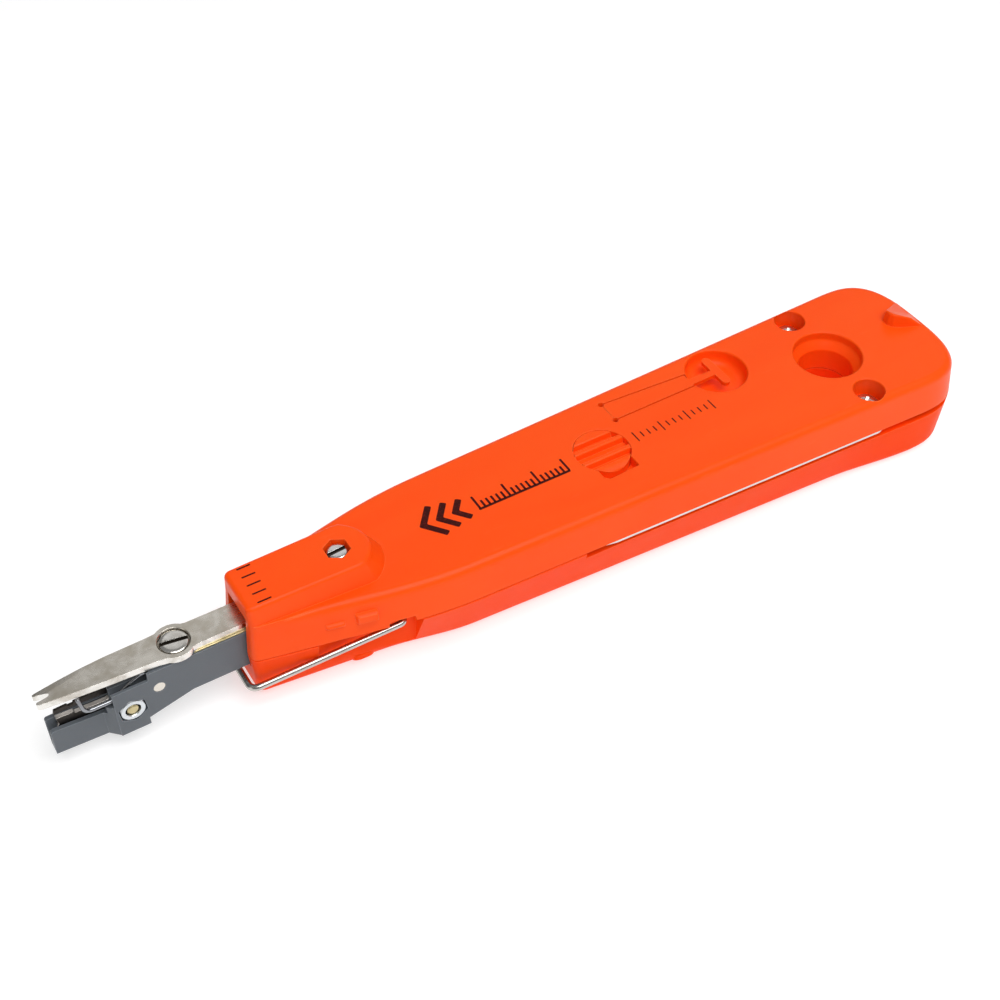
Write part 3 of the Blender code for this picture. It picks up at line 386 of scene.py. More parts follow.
def solid(bm, name="piece"):
    bm.normal_update()
    bmesh.ops.triangulate(bm, faces=[face for face in bm.faces if not is_flat(face)])
    bmesh.ops.recalc_face_normals(bm, faces=bm.faces)
    bm.transform(Matrix.Scale(MM, 4))
    mesh = bpy.data.meshes.new(name)
    bm.to_mesh(mesh)
    bm.free()
    return linked(name, mesh)


def bevel(item, width, segments, angle):
    """Rounds every edge that is sharper than an angle."""
    step = item.modifiers.new("edges", "BEVEL")
    step.width = width * MM
    step.segments = segments
    step.limit_method = "ANGLE"
    step.angle_limit = radians(angle)


def combine(item, bm, operation, rounding=0):
    """Cuts a shape out of an object, or joins it on."""
    tool = solid(bm, "tool")
    if rounding:
        bevel(tool, rounding, 4, 25)
    step = item.modifiers.new("step", "BOOLEAN")
    step.operation = operation
    step.object = tool
    step.solver = "EXACT"
    bpy.context.view_layer.update()
    evaluated = item.evaluated_get(bpy.context.evaluated_depsgraph_get())
    result = bpy.data.meshes.new_from_object(evaluated)
    item.modifiers.clear()
    item.data = result
    bpy.data.objects.remove(tool)


def cut(item, *shapes, rounding=0):
    for shape in shapes:
        combine(item, shape, "DIFFERENCE", rounding)


def join(item, *shapes, rounding=0):
    for shape in shapes:
        combine(item, shape, "UNION", rounding)


def clean(item, gap):
    """Merges points closer than a gap and removes faces with no area."""
    bm = bmesh.new()
    bm.from_mesh(item.data)
    bmesh.ops.remove_doubles(bm, verts=bm.verts, dist=gap * MM)
    bmesh.ops.dissolve_degenerate(bm, edges=bm.edges, dist=gap * MM)
    bm.to_mesh(item.data)
    bm.free()


def finish(item, name, body, material, slot, node=None, edge=0, sharp=32):
    """Rounds and shades an object, and hands it to its body."""
    clean(item, 0.003 if edge else 0.001)
    item.name = name
    item.data.name = name
    item.data.materials.clear()
    item.data.materials.append(material)
    item.data.shade_smooth()
    if edge:
        bevel(item, edge, 2, 28)
    else:
        item.data.set_sharp_from_angle(angle=radians(sharp))
    shading = item.modifiers.new("shading", "WEIGHTED_NORMAL")
    shading.keep_sharp = True
    shading.weight = 60
    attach(item, body)
    if node:
        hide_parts(node)


def tint(item, material, chosen):
    item.data.materials.append(material)
    for face in item.data.polygons:
        face.material_index = 1 if chosen(face) else 0


def wire(points, radius, sides=20):
    """A round wire with domed ends along closely spaced points."""
    path = [Vector(p) for p in points]
    normal = Vector((0, 0, 1))
    if abs((path[1] - path[0]).normalized().dot(normal)) > 0.9:
        normal = Vector((0, 1, 0))
    dome = [(0.35, 0.55), (0.15, 0.88), (-0.1, 1)]
    last = len(path) - 1
    rings = []
    for i, here in enumerate(path):
        tangent = (path[min(i + 1, last)] - path[max(i - 1, 0)]).normalized()
        normal = (normal - tangent * normal.dot(tangent)).normalized()
        side = tangent.cross(normal)
        steps = [(0, 1)]
        if i == 0:
            steps = [(-shift, r) for shift, r in dome]
        if i == last:
            steps = dome[::-1]
        for shift, share in steps:
            centre = here + tangent * (shift * radius)
            angles = [tau * k / sides for k in range(sides)]
            r = radius * share
            rings.append([tuple(centre + (normal * cos(a) + side * sin(a)) * r) for a in angles])
    return solid(loft(rings))


def smooth_path(points, steps=8):
    pts = [Vector(p) for p in points]
    pts = [pts[0] * 2 - pts[1]] + pts + [pts[-1] * 2 - pts[-2]]
    result = []
    for i in range(1, len(pts) - 2):
        p0, p1, p2, p3 = pts[i - 1 : i + 3]
        for k in range(steps):
            t = k / steps
            a = (2 * p0 - 5 * p1 + 4 * p2 - p3) * t * t
            b = (3 * p1 - p0 - 3 * p2 + p3) * t**3
            result.append(0.5 * (2 * p1 + (p2 - p0) * t + a + b))
    result.append(pts[-2])
    return result


def bent_path(points, radius, steps=8):
    """Straight runs joined by round bends."""
    pts = [Vector(p) for p in points]
    result = [pts[0]]
    for before, here, after in zip(pts, pts[1:], pts[2:]):
        result += bend(before, here, after, radius, steps, 0.48)
    result.append(pts[-1])
    return result


# ---- materials


class Nodes:
    def __init__(self, name):
        self.material = bpy.data.materials.new(name)
        self.material.use_nodes = True
        self.tree = self.material.node_tree
        self.shader = self.tree.nodes["Principled BSDF"]
        self.place = self.add("ShaderNodeTexCoord").outputs["Object"]

    def add(self, kind, links=(), **settings):
        item = self.tree.nodes.new(kind)
        for key, value in settings.items():
            setattr(item, key, value)
        for key, value in dict(links).items():
            self.put(item.inputs[key], value)
        return item

    def put(self, socket, value):
        if isinstance(value, bpy.types.NodeSocket):
            self.tree.links.new(value, socket)
        else:
            socket.default_value = value

    def noise(self, scale, detail=4, rough=0.55, stretch=None, distortion=0):
        """Noise with so many features to the millimetre."""
        place = self.place
        if stretch:
            links = {"Vector": place, "Scale": stretch}
            place = self.add("ShaderNodeMapping", links).outputs["Vector"]
        links = {"Vector": place, "Scale": scale / MM, "Detail": detail, "Roughness": rough}
        links["Distortion"] = distortion
        return self.add("ShaderNodeTexNoise", links).outputs["Fac"]

    def ramp(self, value, low, high, start=0, end=1):
        links = enumerate((value, low, high, start, end))
        return self.add("ShaderNodeMapRange", links).outputs["Result"]

    def maths(self, operation, a, b):
        return self.add("ShaderNodeMath", {0: a, 1: b}, operation=operation).outputs["Value"]

    def mix(self, share, a, b):
        """Mixes two colours, each of them a socket or three numbers."""
        item = self.add("ShaderNodeMix", data_type="RGBA")
        self.put(item.inputs["Factor"], share)
        for index, colour in ((6, a), (7, b)):
            self.put(item.inputs[index], (*colour, 1) if isinstance(colour, tuple) else colour)
        return item.outputs[2]

    def bump(self, height, depth, under=None):
        """Surface relief of a depth in millimetres."""
        links = {"Height": height, "Strength": 1, "Distance": depth * MM}
        if under is not None:
            links["Normal"] = under
        return self.add("ShaderNodeBump", links).outputs["Normal"]

    def edges(self, radius):
        """How close a place is to an edge, from 0 to 1."""
        rounded_off = self.add("ShaderNodeBevel", {"Radius": radius * MM}, samples=4)
        links = {0: rounded_off.outputs["Normal"]}
        links[1] = self.add("ShaderNodeNewGeometry").outputs["Normal"]
        item = self.add("ShaderNodeVectorMath", links, operation="DOT_PRODUCT")
        return self.ramp(item.outputs["Value"], 0.995, 0.9)

    def set(self, **values):
        for key, value in values.items():
            self.put(self.shader.inputs[key.replace("_", " ")], value)


def plastic(
    name, colour, deep, roughness, grain=0.012, glow=0.12, shine=0.14, scuffs=(1, 0.2, 0.08)
):
    """Moulded plastic: a fine grain, faint flow marks, scuffs, and a painted highlight that makes
    its edges paler.
    """
    m = Nodes(name)
    flow = m.noise(0.035, detail=3, stretch=(0.5, 1.6, 1), distortion=0.6)
    fine = m.noise(2.6, detail=5, rough=0.6)
    scuff = m.noise(0.5, detail=6, rough=0.7, stretch=(0.25, 1.5, 1))
    scuffed = m.ramp(scuff, 0.62, 0.72)
    shade = m.mix(m.ramp(flow, 0.35, 0.65), deep, colour)
    shade = m.mix(m.maths("MULTIPLY", scuffed, 0.1), shade, scuffs)
    # The edges are painted paler: a painted highlight along every edge.
    painted_edge_highlight = tuple(min(1, 0.05 + 1.9 * c) for c in colour)
    shade = m.mix(m.maths("MULTIPLY", m.edges(0.22), 0.55), shade, painted_edge_highlight)
    rough = m.ramp(m.noise(0.22, detail=5), 0.3, 0.7, roughness - 0.05, roughness + 0.05)
    rough = m.maths("ADD", rough, m.maths("MULTIPLY", scuffed, 0.1))
    relief = m.bump(m.noise(0.09, detail=2), 0.05, under=m.bump(fine, grain))
    m.set(Base_Color=shade, Roughness=rough, Normal=relief)
    m.set(IOR=1.49, Specular_IOR_Level=shine, Subsurface_Weight=glow, Subsurface_Scale=0.9 * MM)
    m.set(Subsurface_Radius=(1, 0.35, 0.1))
    return m.material


def metal(name, colour, stain, roughness, grain=(1, 1, 1), relief=0.0012, smudge=0.5):
    """Metal: tool marks along one axis, smudges of tarnish and bright edges."""
    m = Nodes(name)
    marks = m.noise(3, detail=6, rough=0.65, stretch=grain)
    cloud = m.noise(0.3, detail=6, rough=0.6, distortion=0.4)
    pits = m.noise(4, detail=3, rough=0.8)
    shade = m.mix(m.maths("MULTIPLY", m.ramp(cloud, 0.42, 0.68), smudge), colour, stain)
    dark = tuple(c * 0.45 for c in stain)
    shade = m.mix(m.ramp(pits, 0.7, 0.8, 0, 0.55), shade, dark)
    bright = tuple(min(1, c * 1.18) for c in colour)
    shade = m.mix(m.maths("MULTIPLY", m.edges(0.12), 0.3), shade, bright)
    rough = m.ramp(cloud, 0.3, 0.7, roughness - 0.05, roughness + 0.09)
    rough = m.maths("ADD", rough, m.ramp(marks, 0.3, 0.7, -0.03, 0.05))
    normal = m.bump(cloud, relief * 5, under=m.bump(marks, relief))
    m.set(Base_Color=shade, Metallic=1, Roughness=rough, Normal=normal)
    return m.material


def ink(name, colour):
    """Printed ink, a little broken up by the plastic's grain."""
    m = Nodes(name)
    specks = m.noise(2.4, detail=5, rough=0.7)
    shade = m.mix(m.ramp(specks, 0.5, 0.74), colour, (0.16, 0.012, 0.008))
    rough = m.ramp(specks, 0.3, 0.7, 0.42, 0.6)
    m.set(Base_Color=shade, Roughness=rough, Specular_IOR_Level=0.1, Normal=m.bump(specks, 0.008))
    return m.material


def floor_material():
    m = Nodes("studio_floor")
    shade = m.mix(m.noise(0.01, detail=3), (0.54, 0.54, 0.54), (0.57, 0.57, 0.57))
    m.set(Base_Color=shade, Roughness=0.9, Specular_IOR_Level=0.1)
    m.set(Emission_Color=shade, Emission_Strength=1)
    m.set(Normal=m.bump(m.noise(0.2, detail=3), 0.05))
    return m.material


ORANGE = plastic("orange_shell", (1, 0.09, 0.005), (1, 0.078, 0.003), 0.34)
# A darker, more saturated copy of the orange for the lower shell: painted shade of its
# downward-facing walls.
ORANGE_LOW_SHADED = plastic("orange_shell_low_shaded", (1, 0.068, 0.003), (1, 0.058, 0.002), 0.38, shine=0.04)
GREY = plastic(
    "grey_nylon", (0.122, 0.136, 0.152), (0.104, 0.117, 0.132), 0.42,
    grain=0.02, glow=0.02, shine=0.35, scuffs=(0.3, 0.3, 0.3),
)
NICKEL = metal(
    "worn_nickel", (0.74, 0.7, 0.63), (0.5, 0.44, 0.34), 0.25, (0.15, 1.6, 1), 0.002, 0.65
)
# A brighter copy of the nickel for the lever's side faces: a painted reflection of the bright
# floor, with dark streaks.
NICKEL_SIDE_PAINTED_SHEEN = metal(
    "nickel_side_painted_sheen", (0.84, 0.82, 0.78), (0.34, 0.29, 0.22), 0.2, (0.1, 1, 2.5), 0.002, 0.7
)
NICKEL_SCREW = metal("nickel_screw", (0.78, 0.76, 0.72), (0.6, 0.56, 0.5), 0.2, (1, 1, 0.2), 0.0008)
STEEL = metal("ground_steel", (0.74, 0.74, 0.73), (0.6, 0.59, 0.56), 0.24, (0.12, 1.5, 1), 0.0008)
BLADE_BRIGHT = metal(
    "inserter_steel", (0.58, 0.54, 0.5), (0.3, 0.28, 0.26), 0.26, (0.12, 1, 1.5), 0.0008
)
# Blackened steel of the cutter, also used as painted shade on the inserter's side faces in the
# slot.
BLADE_BLACK_AND_SIDE_SHADE = metal("dark_blade_and_side_shade", (0.05, 0.044, 0.04), (0.028, 0.022, 0.018), 0.38, (0.12, 1, 1.5))
# Painted shade for the inside of screw slots.
SLOT_PAINTED_SHADE = metal("slot_shadow", (0.1, 0.085, 0.07), (0.035, 0.028, 0.022), 0.55)
ZINC = metal("zinc_nut", (0.7, 0.73, 0.76), (0.58, 0.61, 0.62), 0.3, smudge=0.35)
BRASS = metal("brass_thread", (0.62, 0.53, 0.3), (0.42, 0.36, 0.2), 0.34, smudge=0.7)
SPRING = metal("spring_wire", (0.5, 0.5, 0.5), (0.34, 0.33, 0.31), 0.28)
WIRE = metal("plated_wire", (0.56, 0.54, 0.51), (0.4, 0.36, 0.32), 0.2, (0.12, 1, 1), 0.0008)
FEELER = metal("feeler_steel", (0.3, 0.31, 0.33), (0.18, 0.18, 0.19), 0.22, (0.12, 1, 1))
INK = ink("maroon_ink", (0.04, 0.004, 0.003))


# ---- upper shell


def crest(shape, inset):
    """Leaves the nose's top edge sharp, where the pad continues the walls."""
    points = []
    for full, small in zip(shape, inset):
        share = min(1, max(0, (full[0] - CREST_START) / CREST_RUN))
        points += between([full], [small], share)
    return points


def upper_outer():
    top = plan(top_half, 0)
    rings = [
        ring(plan(top_half, DRAFT - SEAM_CHAMFER), UPPER_EDGE),
        ring(plan(top_half, DRAFT), UPPER_EDGE + SEAM_CHAMFER),
        ring(top, TOP_Z - TOP_FILLET),
    ]
    for inset, drop in rounded(TOP_FILLET, FILLET_STEPS):
        rings.append(ring(crest(top, plan(top_half, -inset)), TOP_Z - drop))
    return loft(rings)


def pad_outline(front_half, corner, arc_front, arc_rear, corner_x, grow=0):
    """The nose pad in plan, with rounded front corners and a round rear."""
    front_x = NOSE_X - grow
    half = front_half + grow
    corner_half = corner + grow
    slope = (corner_half - half) / (corner_x - front_x)
    near = []
    for s, c in quarter(CORNER_STEPS):
        x = front_x + NOSE_CORNER * (1 - c)
        near.append((x, -(half - NOSE_CORNER * (1 - s) + slope * (x - front_x))))
    for i in range(1, 6):
        x = front_x + NOSE_CORNER + (corner_x - 1 - front_x - NOSE_CORNER) * i / 5
        near.append((x, -(half + slope * (x - front_x))))
    start = atan2(-corner_half, corner_x - SCREW_X)
    reach = hypot(corner_half, corner_x - SCREW_X)
    steps = 20
    for i in range(1, steps + 1):
        angle = start * (1 - i / steps)
        radius = reach + (arc_front + grow - reach) * min(1, i / 5)
        radius += (arc_rear - arc_front) * (i / steps) ** 2
        near.append((SCREW_X + radius * cos(angle), radius * sin(angle)))
    return both_sides(near)


def nose_pad():
    """The nose's column with its raised pad."""
    base = (NOSE_HALF, 6.5, 7.45, 7.9, -33.6)
    low = pad_outline(*base, grow=0.02)
    high = pad_outline(4.82, 5, 5.15, 5.05, -35)
    height = PAD_Z - TOP_Z
    rise = (PAD_Z - PAD_FILLET - TOP_Z) / height
    shoulder = between(low, high, rise)
    rings = [
        ring(pad_outline(*base, grow=DRAFT - 0.12), UPPER_EDGE),
        ring(pad_outline(*base, grow=DRAFT + 0.02), UPPER_EDGE + SEAM_CHAMFER),
        ring(low, TOP_Z),
        ring(between(low, high, 0.5 * rise), TOP_Z + 0.5 * rise * height),
        ring(shoulder, PAD_Z - PAD_FILLET),
    ]
    for inset, drop in rounded(PAD_FILLET, 6):
        rings.append(ring(grown(shoulder, -inset), PAD_Z - drop))
    return loft(rings)


def wall_bump(side, x0, x1, z0, z1, proud):
    rings = []
    for inset, out in ((0, -1), (0, 0.02), (0.12, proud * 0.7), (0.32, proud)):
        points = []
        for x, z in softened(box(x0 + inset, z0 + inset, x1 - inset, z1 - inset), 0.25):
            share = (TOP_Z - z) / (TOP_Z - SEAM_Z)
            points.append((x, side * (top_half(x) + DRAFT * share + out), z))
        rings.append(points)
    return loft(rings)


def lever_way():
    """The lever's passage, wider behind a lip at the front."""
    near = [(NOSE_X - 3, -3.4), (NOSE_X + 1.2, -3.4), (NOSE_X + 1.3, -4.35), (-38.5, -5.6)]
    return prism(both_sides(near, 0), STEM_TOP, 19)


def hanging_bore(low, high):
    """The hole's rim, the step below it and its bore."""
    profile = [(HOLE_BORE, low), (HOLE_BORE, 15.1), (HOLE_BORE + 0.12, 15.35)]
    profile += [(HOLE_RIM - 0.45, 16.45), (HOLE_RIM - 0.12, 16.75), (HOLE_RIM, 17.1)]
    return turned(HOLE_X, 0, profile + round_mouth(HOLE_RIM, high), 96)


def t_bowl():
    """The round recess around the tongue's end, with a dished floor."""
    dish = ((1.9, 0), (1.2, 0.1), (0.6, 0.38), (0.2, 0.85), (0, 1.5))
    profile = [(T_RECESS - inset, T_FLOOR_Z + up) for inset, up in dish]
    return turned(T_X, T_Y, profile + round_mouth(T_RECESS, TOP_Z), 96)


def thumb_catch():
    """The catch at the butt, high at its front and falling to the rim."""
    foot = [(81.2, 2.6), (81, 0.9), (81.6, -0.1), (83, -1), (84.6, -1.8), (87.35, -3.2)]
    foot += [(87.95, 1.5), (87.85, 6)]
    crown = [(81.8, 2.5, 2.45), (81.6, 1.1, 2.6), (82, 0.3, 2.65), (83.2, -0.6, 2.5)]
    crown += [(84.7, -1.45, 2), (87.35, -2.9, -0.28), (87.95, 1.5, -0.42), (87.85, 5.8, -0.36)]
    return loft([ring(foot, TOP_Z - 1.6), [(x, y, TOP_Z + h) for x, y, h in crown]])


def bail_relief(side):
    """Room in the upper shell's edge for the bail's bend."""
    y0, y1 = sorted((side * 8.6, side * 16))
    return block((BAIL_X - 3.2, y0, SEAM_Z - 1), (BAIL_X + 1.4, y1, 12.1))


def upper_shell():
    item = solid(upper_outer())
    join(item, nose_pad())
    for side in SIDES:
        cut(item, bail_relief(side), rounding=0.5)
        join(item, wall_bump(side, -43.8, -40.6, 14.1, 15, 0.45))
        join(item, wall_bump(side, -38.9, -35.2, 13.9, 15.9, 0.75))
    outer = plan(top_half, DRAFT - WALL, front=-41)
    inner = plan(top_half, -WALL, front=-41)
    cut(item, loft([ring(outer, SEAM_Z - 2), ring(inner, CEILING_Z)]))
    join(item, post(HOLE_X, 0, HOLE_TUBE, UPPER_EDGE, CEILING_Z + 0.8))
    for place in BUTT_SCREWS:
        join(item, post(*place, 3.4, UPPER_EDGE, CEILING_Z + 0.7, 48))
    join(item, post(T_X, T_Y, T_RECESS + 1, T_FLOOR_Z - 1.2, CEILING_Z + 0.6))
    cut(item, block((NOSE_X - 3, -STEM_WAY, SEAM_Z - 2), (-39, STEM_WAY, STEM_TOP + 0.3)))
    cut(item, lever_way(), hanging_bore(SEAM_Z - 1, TOP_Z))
    button = circle(BUTTON_X, BUTTON_Y, BUTTON_R + 0.08, 80)
    cut(item, mouth(button, CEILING_Z - 1.5, TOP_Z, lip=0.12))
    notch = [(11.55, -3), (18.5, -3), (18.5, -6.15), (12.3, -6.45), (11.55, -5.6)]
    cut(item, mouth(softened(notch, 0.2), TOP_Z - 2.1, TOP_Z, lip=0.2), t_bowl())
    for place in BUTT_SCREWS:
        cut(item, mouth(circle(*place, BUTT_RECESS, 56), BUTT_RECESS_Z, TOP_Z))
        cut(item, post(*place, 1.55, SEAM_Z - 1, BUTT_RECESS_Z + 1, 32))
    cut(item, mouth(hexagon(SCREW_X, 0, NUT_CORNER), 20.2, PAD_Z, lip=0.12))
    cut(item, post(SCREW_X, 0, 1.3, SEAM_Z, 20.5, 32))
    edge = T_X - T_RECESS + 0.1
    window = [(ROOT_X, 5.34), (edge, 5.56), (edge, 9.36), (ROOT_X, 10.38)]
    cut(item, mouth(window, CEILING_Z - 1, TOP_Z, lip=0.06))
    cut(item, block((edge - 0.5, 6, T_FLOOR_Z), (T_X - 3.6, 7.9, TOP_Z + 1)))
    for y in TONGUE_HOLES_Y:
        cut(item, mouth(circle(ROOT_X, y, 0.55, 24), CEILING_Z - 1, TOP_Z, lip=0.12))
    join(item, thumb_catch(), rounding=0.5)
    finish(item, "casing_upper", "casing", ORANGE, "orange_plastic", "upper_shell")


# ---- lower shell


def lower_outer():
    """The lower shell's outside, rounded along its bottom."""
    seam = plan(top_half, DRAFT)
    bottom = plan(bottom_half, 0, butt=BOTTOM_BUTT)
    rings = [ring(plan(top_half, DRAFT - SEAM_CHAMFER), LOWER_EDGE)]
    rings.append(ring(seam, LOWER_EDGE - SEAM_CHAMFER))
    for inset, z in rounded(BOTTOM_FILLET, FILLET_STEPS, first=0):
        tight = plan(bottom_half, -inset, butt=BOTTOM_BUTT)
        loose = between(seam, bottom, (SEAM_Z - z) / SEAM_Z)
        parts = zip(loose, tight, bottom)
        rings.append([(a[0] + b[0] - c[0], a[1] + b[1] - c[1], z) for a, b, c in parts])
    return loft(rings)


def lower_cavity():
    front = POCKET_REAR_X + 0.9
    seam = plan(top_half, DRAFT - WALL, front=front)
    bottom = plan(bottom_half, -WALL, front=front, butt=BOTTOM_BUTT)
    floor = between(seam, bottom, (SEAM_Z - FLOOR_Z) / SEAM_Z)
    return loft([ring(floor, FLOOR_Z), ring(seam, SEAM_Z + 1)])


def bail_line(x):
    slope = (BAIL_ARM_Y - BAIL_FRONT_Y) / (BAIL_X - BAIL_FRONT_X)
    return BAIL_FRONT_Y + slope * (x - BAIL_FRONT_X)


def bail_pocket(side):
    """The recess for the bail's arm, deeper below the pivot where it swings."""
    front = bail_line(POCKET_FRONT_X) - BAIL_WIRE - 0.4
    rings = []
    for z, rear_depth in ((2, 2.3), (SEAM_Z + 1, BAIL_WIRE + 0.4)):
        shape = [(POCKET_FRONT_X, front), (POCKET_REAR_X, bail_line(POCKET_REAR_X) - rear_depth)]
        shape += [(POCKET_REAR_X, 20), (POCKET_FRONT_X, 20)]
        rings.append([(x, side * y, z) for x, y in shape])
    return loft(rings)


def pivot_notch(side):
    y0, y1 = sorted((side * 7.2, side * 9.6))
    reach = BAIL_WIRE + 0.3
    return block((BAIL_X - reach, y0, BAIL_Z - reach), (BAIL_X + reach, y1, SEAM_Z + 0.7))


def rim_slot(side):
    """The slot in the rim for a fold-out tool, with its finger gap."""
    shape = [(SLOT_START_X, 6), (30, 6), (30, 10.5), (61.5, 10.5), (61.5, 14.35)]
    shape += [(74.6, 14.35), (74.6, 7.5), (FINGER_END_X, 7.5)]
    shape += [(FINGER_END_X, 20), (SLOT_START_X, 20)]
    return prism([(x, side * y) for x, y in shape], SLOT_FLOOR_Z, SEAM_Z + 1)


def lower_bump(side):
    shape = [(-39, 4.5), (-34.9, 4.5), (-34.9, 6.8), (-35.8, 7.3), (-38.1, 7.2), (-39, 6.7)]
    shape = [(x, side * y) for x, y in softened(shape, 0.5)]
    small = [(x, y - side * 0.25) for x, y in shape]
    return loft([ring(small, 1.35), ring(shape, 1.65), ring(shape, 2.6), ring(small, 2.95)])


def lower_shell():
    item = solid(lower_outer())
    for side in SIDES:
        join(item, lower_bump(side))
    cut(item, lower_cavity())
    join(item, post(HOLE_X, 0, HOLE_TUBE, FLOOR_Z - 0.8, LOWER_EDGE))
    join(item, block((43, -6, FLOOR_Z - 0.8), (45.5, 6, LOWER_EDGE - 0.4)))
    for screw, pin in zip(BUTT_SCREWS, FOLD_PINS):
        join(item, post(*screw, 2.5, 5, LOWER_EDGE, 40), post(*pin, 2, 6, SLOT_FLOOR_Z, 32))
    low = STEM_BOTTOM - 0.4
    cut(item, block((NOSE_X - 3, -STEM_WAY, low), (STEM_REAR_X, STEM_WAY, SEAM_Z + 1)))
    cut(item, block((-30.3, -5.1, FLOOR_Z + 0.4), (-24, 5.1, SEAM_Z + 1)))
    for side in SIDES:
        cut(item, pivot_notch(side), bail_pocket(side), rim_slot(side))
    flare = ((0.8, -1), (0.5, 0), (0.15, 0.3), (0, 0.7), (0, SEAM_Z + 1))
    cut(item, turned(HOLE_X, 0, [(HOLE_BORE + out, z) for out, z in flare], 96))
    nut_way = ((0.7, -0.6), (0.3, 0.2), (0.3, 2))
    cut(item, loft([ring(hexagon(SCREW_X, 0, NUT_CORNER + out), z) for out, z in nut_way]))
    cut(item, post(SCREW_X, 0, 1.3, 1, SEAM_Z, 24))
    for screw, pin in zip(BUTT_SCREWS, FOLD_PINS):
        cut(item, post(*screw, 1.5, 5.6, SEAM_Z + 1, 24), post(*pin, 1.3, 6.5, SEAM_Z + 1, 24))
    cut(item, post(0, SPRING_Z, 1.8, 42, 44.6, 24, "X"))
    # The lower shell takes the darker orange copy, as painted shade.
    finish(item, "casing_lower", "casing", ORANGE_LOW_SHADED, "orange_plastic_lower", "lower_shell")


# ---- controls


def round_button():
    """A far half-moon, two rounded ribs and a crowned near lobe."""
    top = BUTTON_HIGH.z
    profile = [(BUTTON_R, 15), (BUTTON_R, top - 0.12)]
    profile += [(BUTTON_R - 0.04, top - 0.04), (BUTTON_R - 0.12, top)]
    item = solid(turned(BUTTON_X, BUTTON_Y, profile, 80))
    join(item, block((BUTTON_LOW.x, -2, BUTTON_LOW.z), (BUTTON_HIGH.x, 2.4, 16)))
    cutters = []
    for y0, y1 in ((2.2, 3.42), (-0.75, 1.15), (-3.1, -1.75)):
        groove = arc(y0 - 0.3, top - 0.3, 0.3, 72, 0, 4)
        groove += [(y0 + 0.16, top - 1.2), (y1 - 0.16, top - 1.2)]
        groove += arc(y1 + 0.3, top - 0.3, 0.3, 180, 108, 4)
        cutters.append(groove + [(y1 + 0.36, top + 0.3), (y0 - 0.36, top + 0.3)])
    crown = ((-3.4, 0.03), (-3.8, -0.04), (-4.3, -0.22), (-4.7, -0.5), (-5.5, -1.3))
    crown += ((-5.5, 1), (-3.4, 1))
    cutters.append([(y, top + up) for y, up in crown])
    for shape in cutters:
        cut(item, prism(shape, BUTTON_X - 8, BUTTON_X + 8, "X"))
    finish(item, "button_cap", "button", ORANGE, "orange_button", "round_button", 0.2)


def release_tongue():
    """The sprung tongue, with a thinner, round-ended T."""
    edge = T_X - T_RECESS - 0.2
    root = ROOT_X + 0.06
    low = TONGUE_LOW.z
    shape = [(root, 5.66), (edge, 5.9), (edge + 0.1, 6.25), (T_X - T_BAR, 6.35)]
    shape += arc(T_X, T_Y - 3.75 + T_BAR, T_BAR, 180, 360, 8)
    shape += arc(T_X, T_Y + 4 - T_BAR, T_BAR, 0, 180, 8)
    shape += [(T_X - T_BAR, 7.6), (edge + 0.1, 7.7), (edge, 9.02), (root, 10.04)]
    item = solid(prism(shape, low, TOP_Z))
    for y in TONGUE_HOLES_Y:
        cut(item, post(ROOT_X, y, 0.62, low - 1, TOP_Z + 1, 20))
    cut(item, block((T_X - T_RECESS + 0.7, 2, low - 1), (T_X + 2, 12, TOP_Z - 0.85)))
    finish(item, "tongue_key", "tongue", ORANGE, "orange_tongue", "release_tongue", 0.2)


def bail():
    """The bail's wire, whose ends turn in to the casing."""
    half = [(BAIL_X, 7.6, BAIL_Z), (BAIL_X, BAIL_ARM_Y, BAIL_Z)]
    half.append((BAIL_FRONT_X, BAIL_FRONT_Y, BAIL_FRONT_Z))
    points = half + [(x, -y, z) for x, y, z in reversed(half)]
    item = wire(bent_path(points, 1.5, steps=10), BAIL_WIRE, sides=28)
    finish(item, "bail_wire", "bail", WIRE, "steel_wire", "lock_bail", sharp=60)


# ---- screws


def slotted_screw(x, radius, low, high, turn, depth, shank, *piece):
    """A screw on the middle line, with the inside of its slot painted dark as shade."""
    rim = ((0.1, low), (0, low + 0.1), (0, high - 0.28), (0.06, high - 0.12), (0.22, high - 0.03))
    profile = [(radius - inset, z) for inset, z in rim]
    item = solid(turned(x, 0, profile + [(radius * 0.7, high), (radius * 0.35, high)], 56))
    groove = block((x - 4, -SLOT_HALF, high - depth), (x + 4, SLOT_HALF, high + 2))
    cut(item, spin(groove, x, 0, turn))
    join(item, shank)
    finish(item, *piece, edge=0.05)
    a = radians(turn)

    def inside(face):
        face_x, y, z = face.center / MM
        return abs(y * cos(a) - (face_x - x) * sin(a)) < SLOT_HALF + 0.03 and z < high - 0.08

    # The faces inside the slot are painted dark: painted shade.
    tint(item, SLOT_PAINTED_SHADE, inside)


def nose_screw():
    low, high = span("nose_screw")
    top = high.z + 0.35
    shank = turned(SCREW_X, 0, [(0.85, low.z), (1, low.z + 0.2), (1, top - 0.8)], 32)
    size = (SCREW_X, 1.75, top - 0.9, top, 4, 0.6)
    slotted_screw(*size, shank, "nose_screw_head", "casing", STEEL, "bright_steel", "nose_screw")


def pivot_screw():
    low, high = span("pivot_screw")
    seat = LEVER_LOW.z
    profile = [(1.25, low.z), (1.25, seat), (1.35, seat + 0.05), (2.25, seat + 0.52)]
    size = (PIVOT_X, 2.38, seat + 0.45, high.z - 0.02, -9, 0.75, turned(PIVOT_X, 0, profile, 48))
    slotted_screw(*size, "pivot_screw_head", "head", NICKEL_SCREW, "nickel_plate", "pivot_screw")


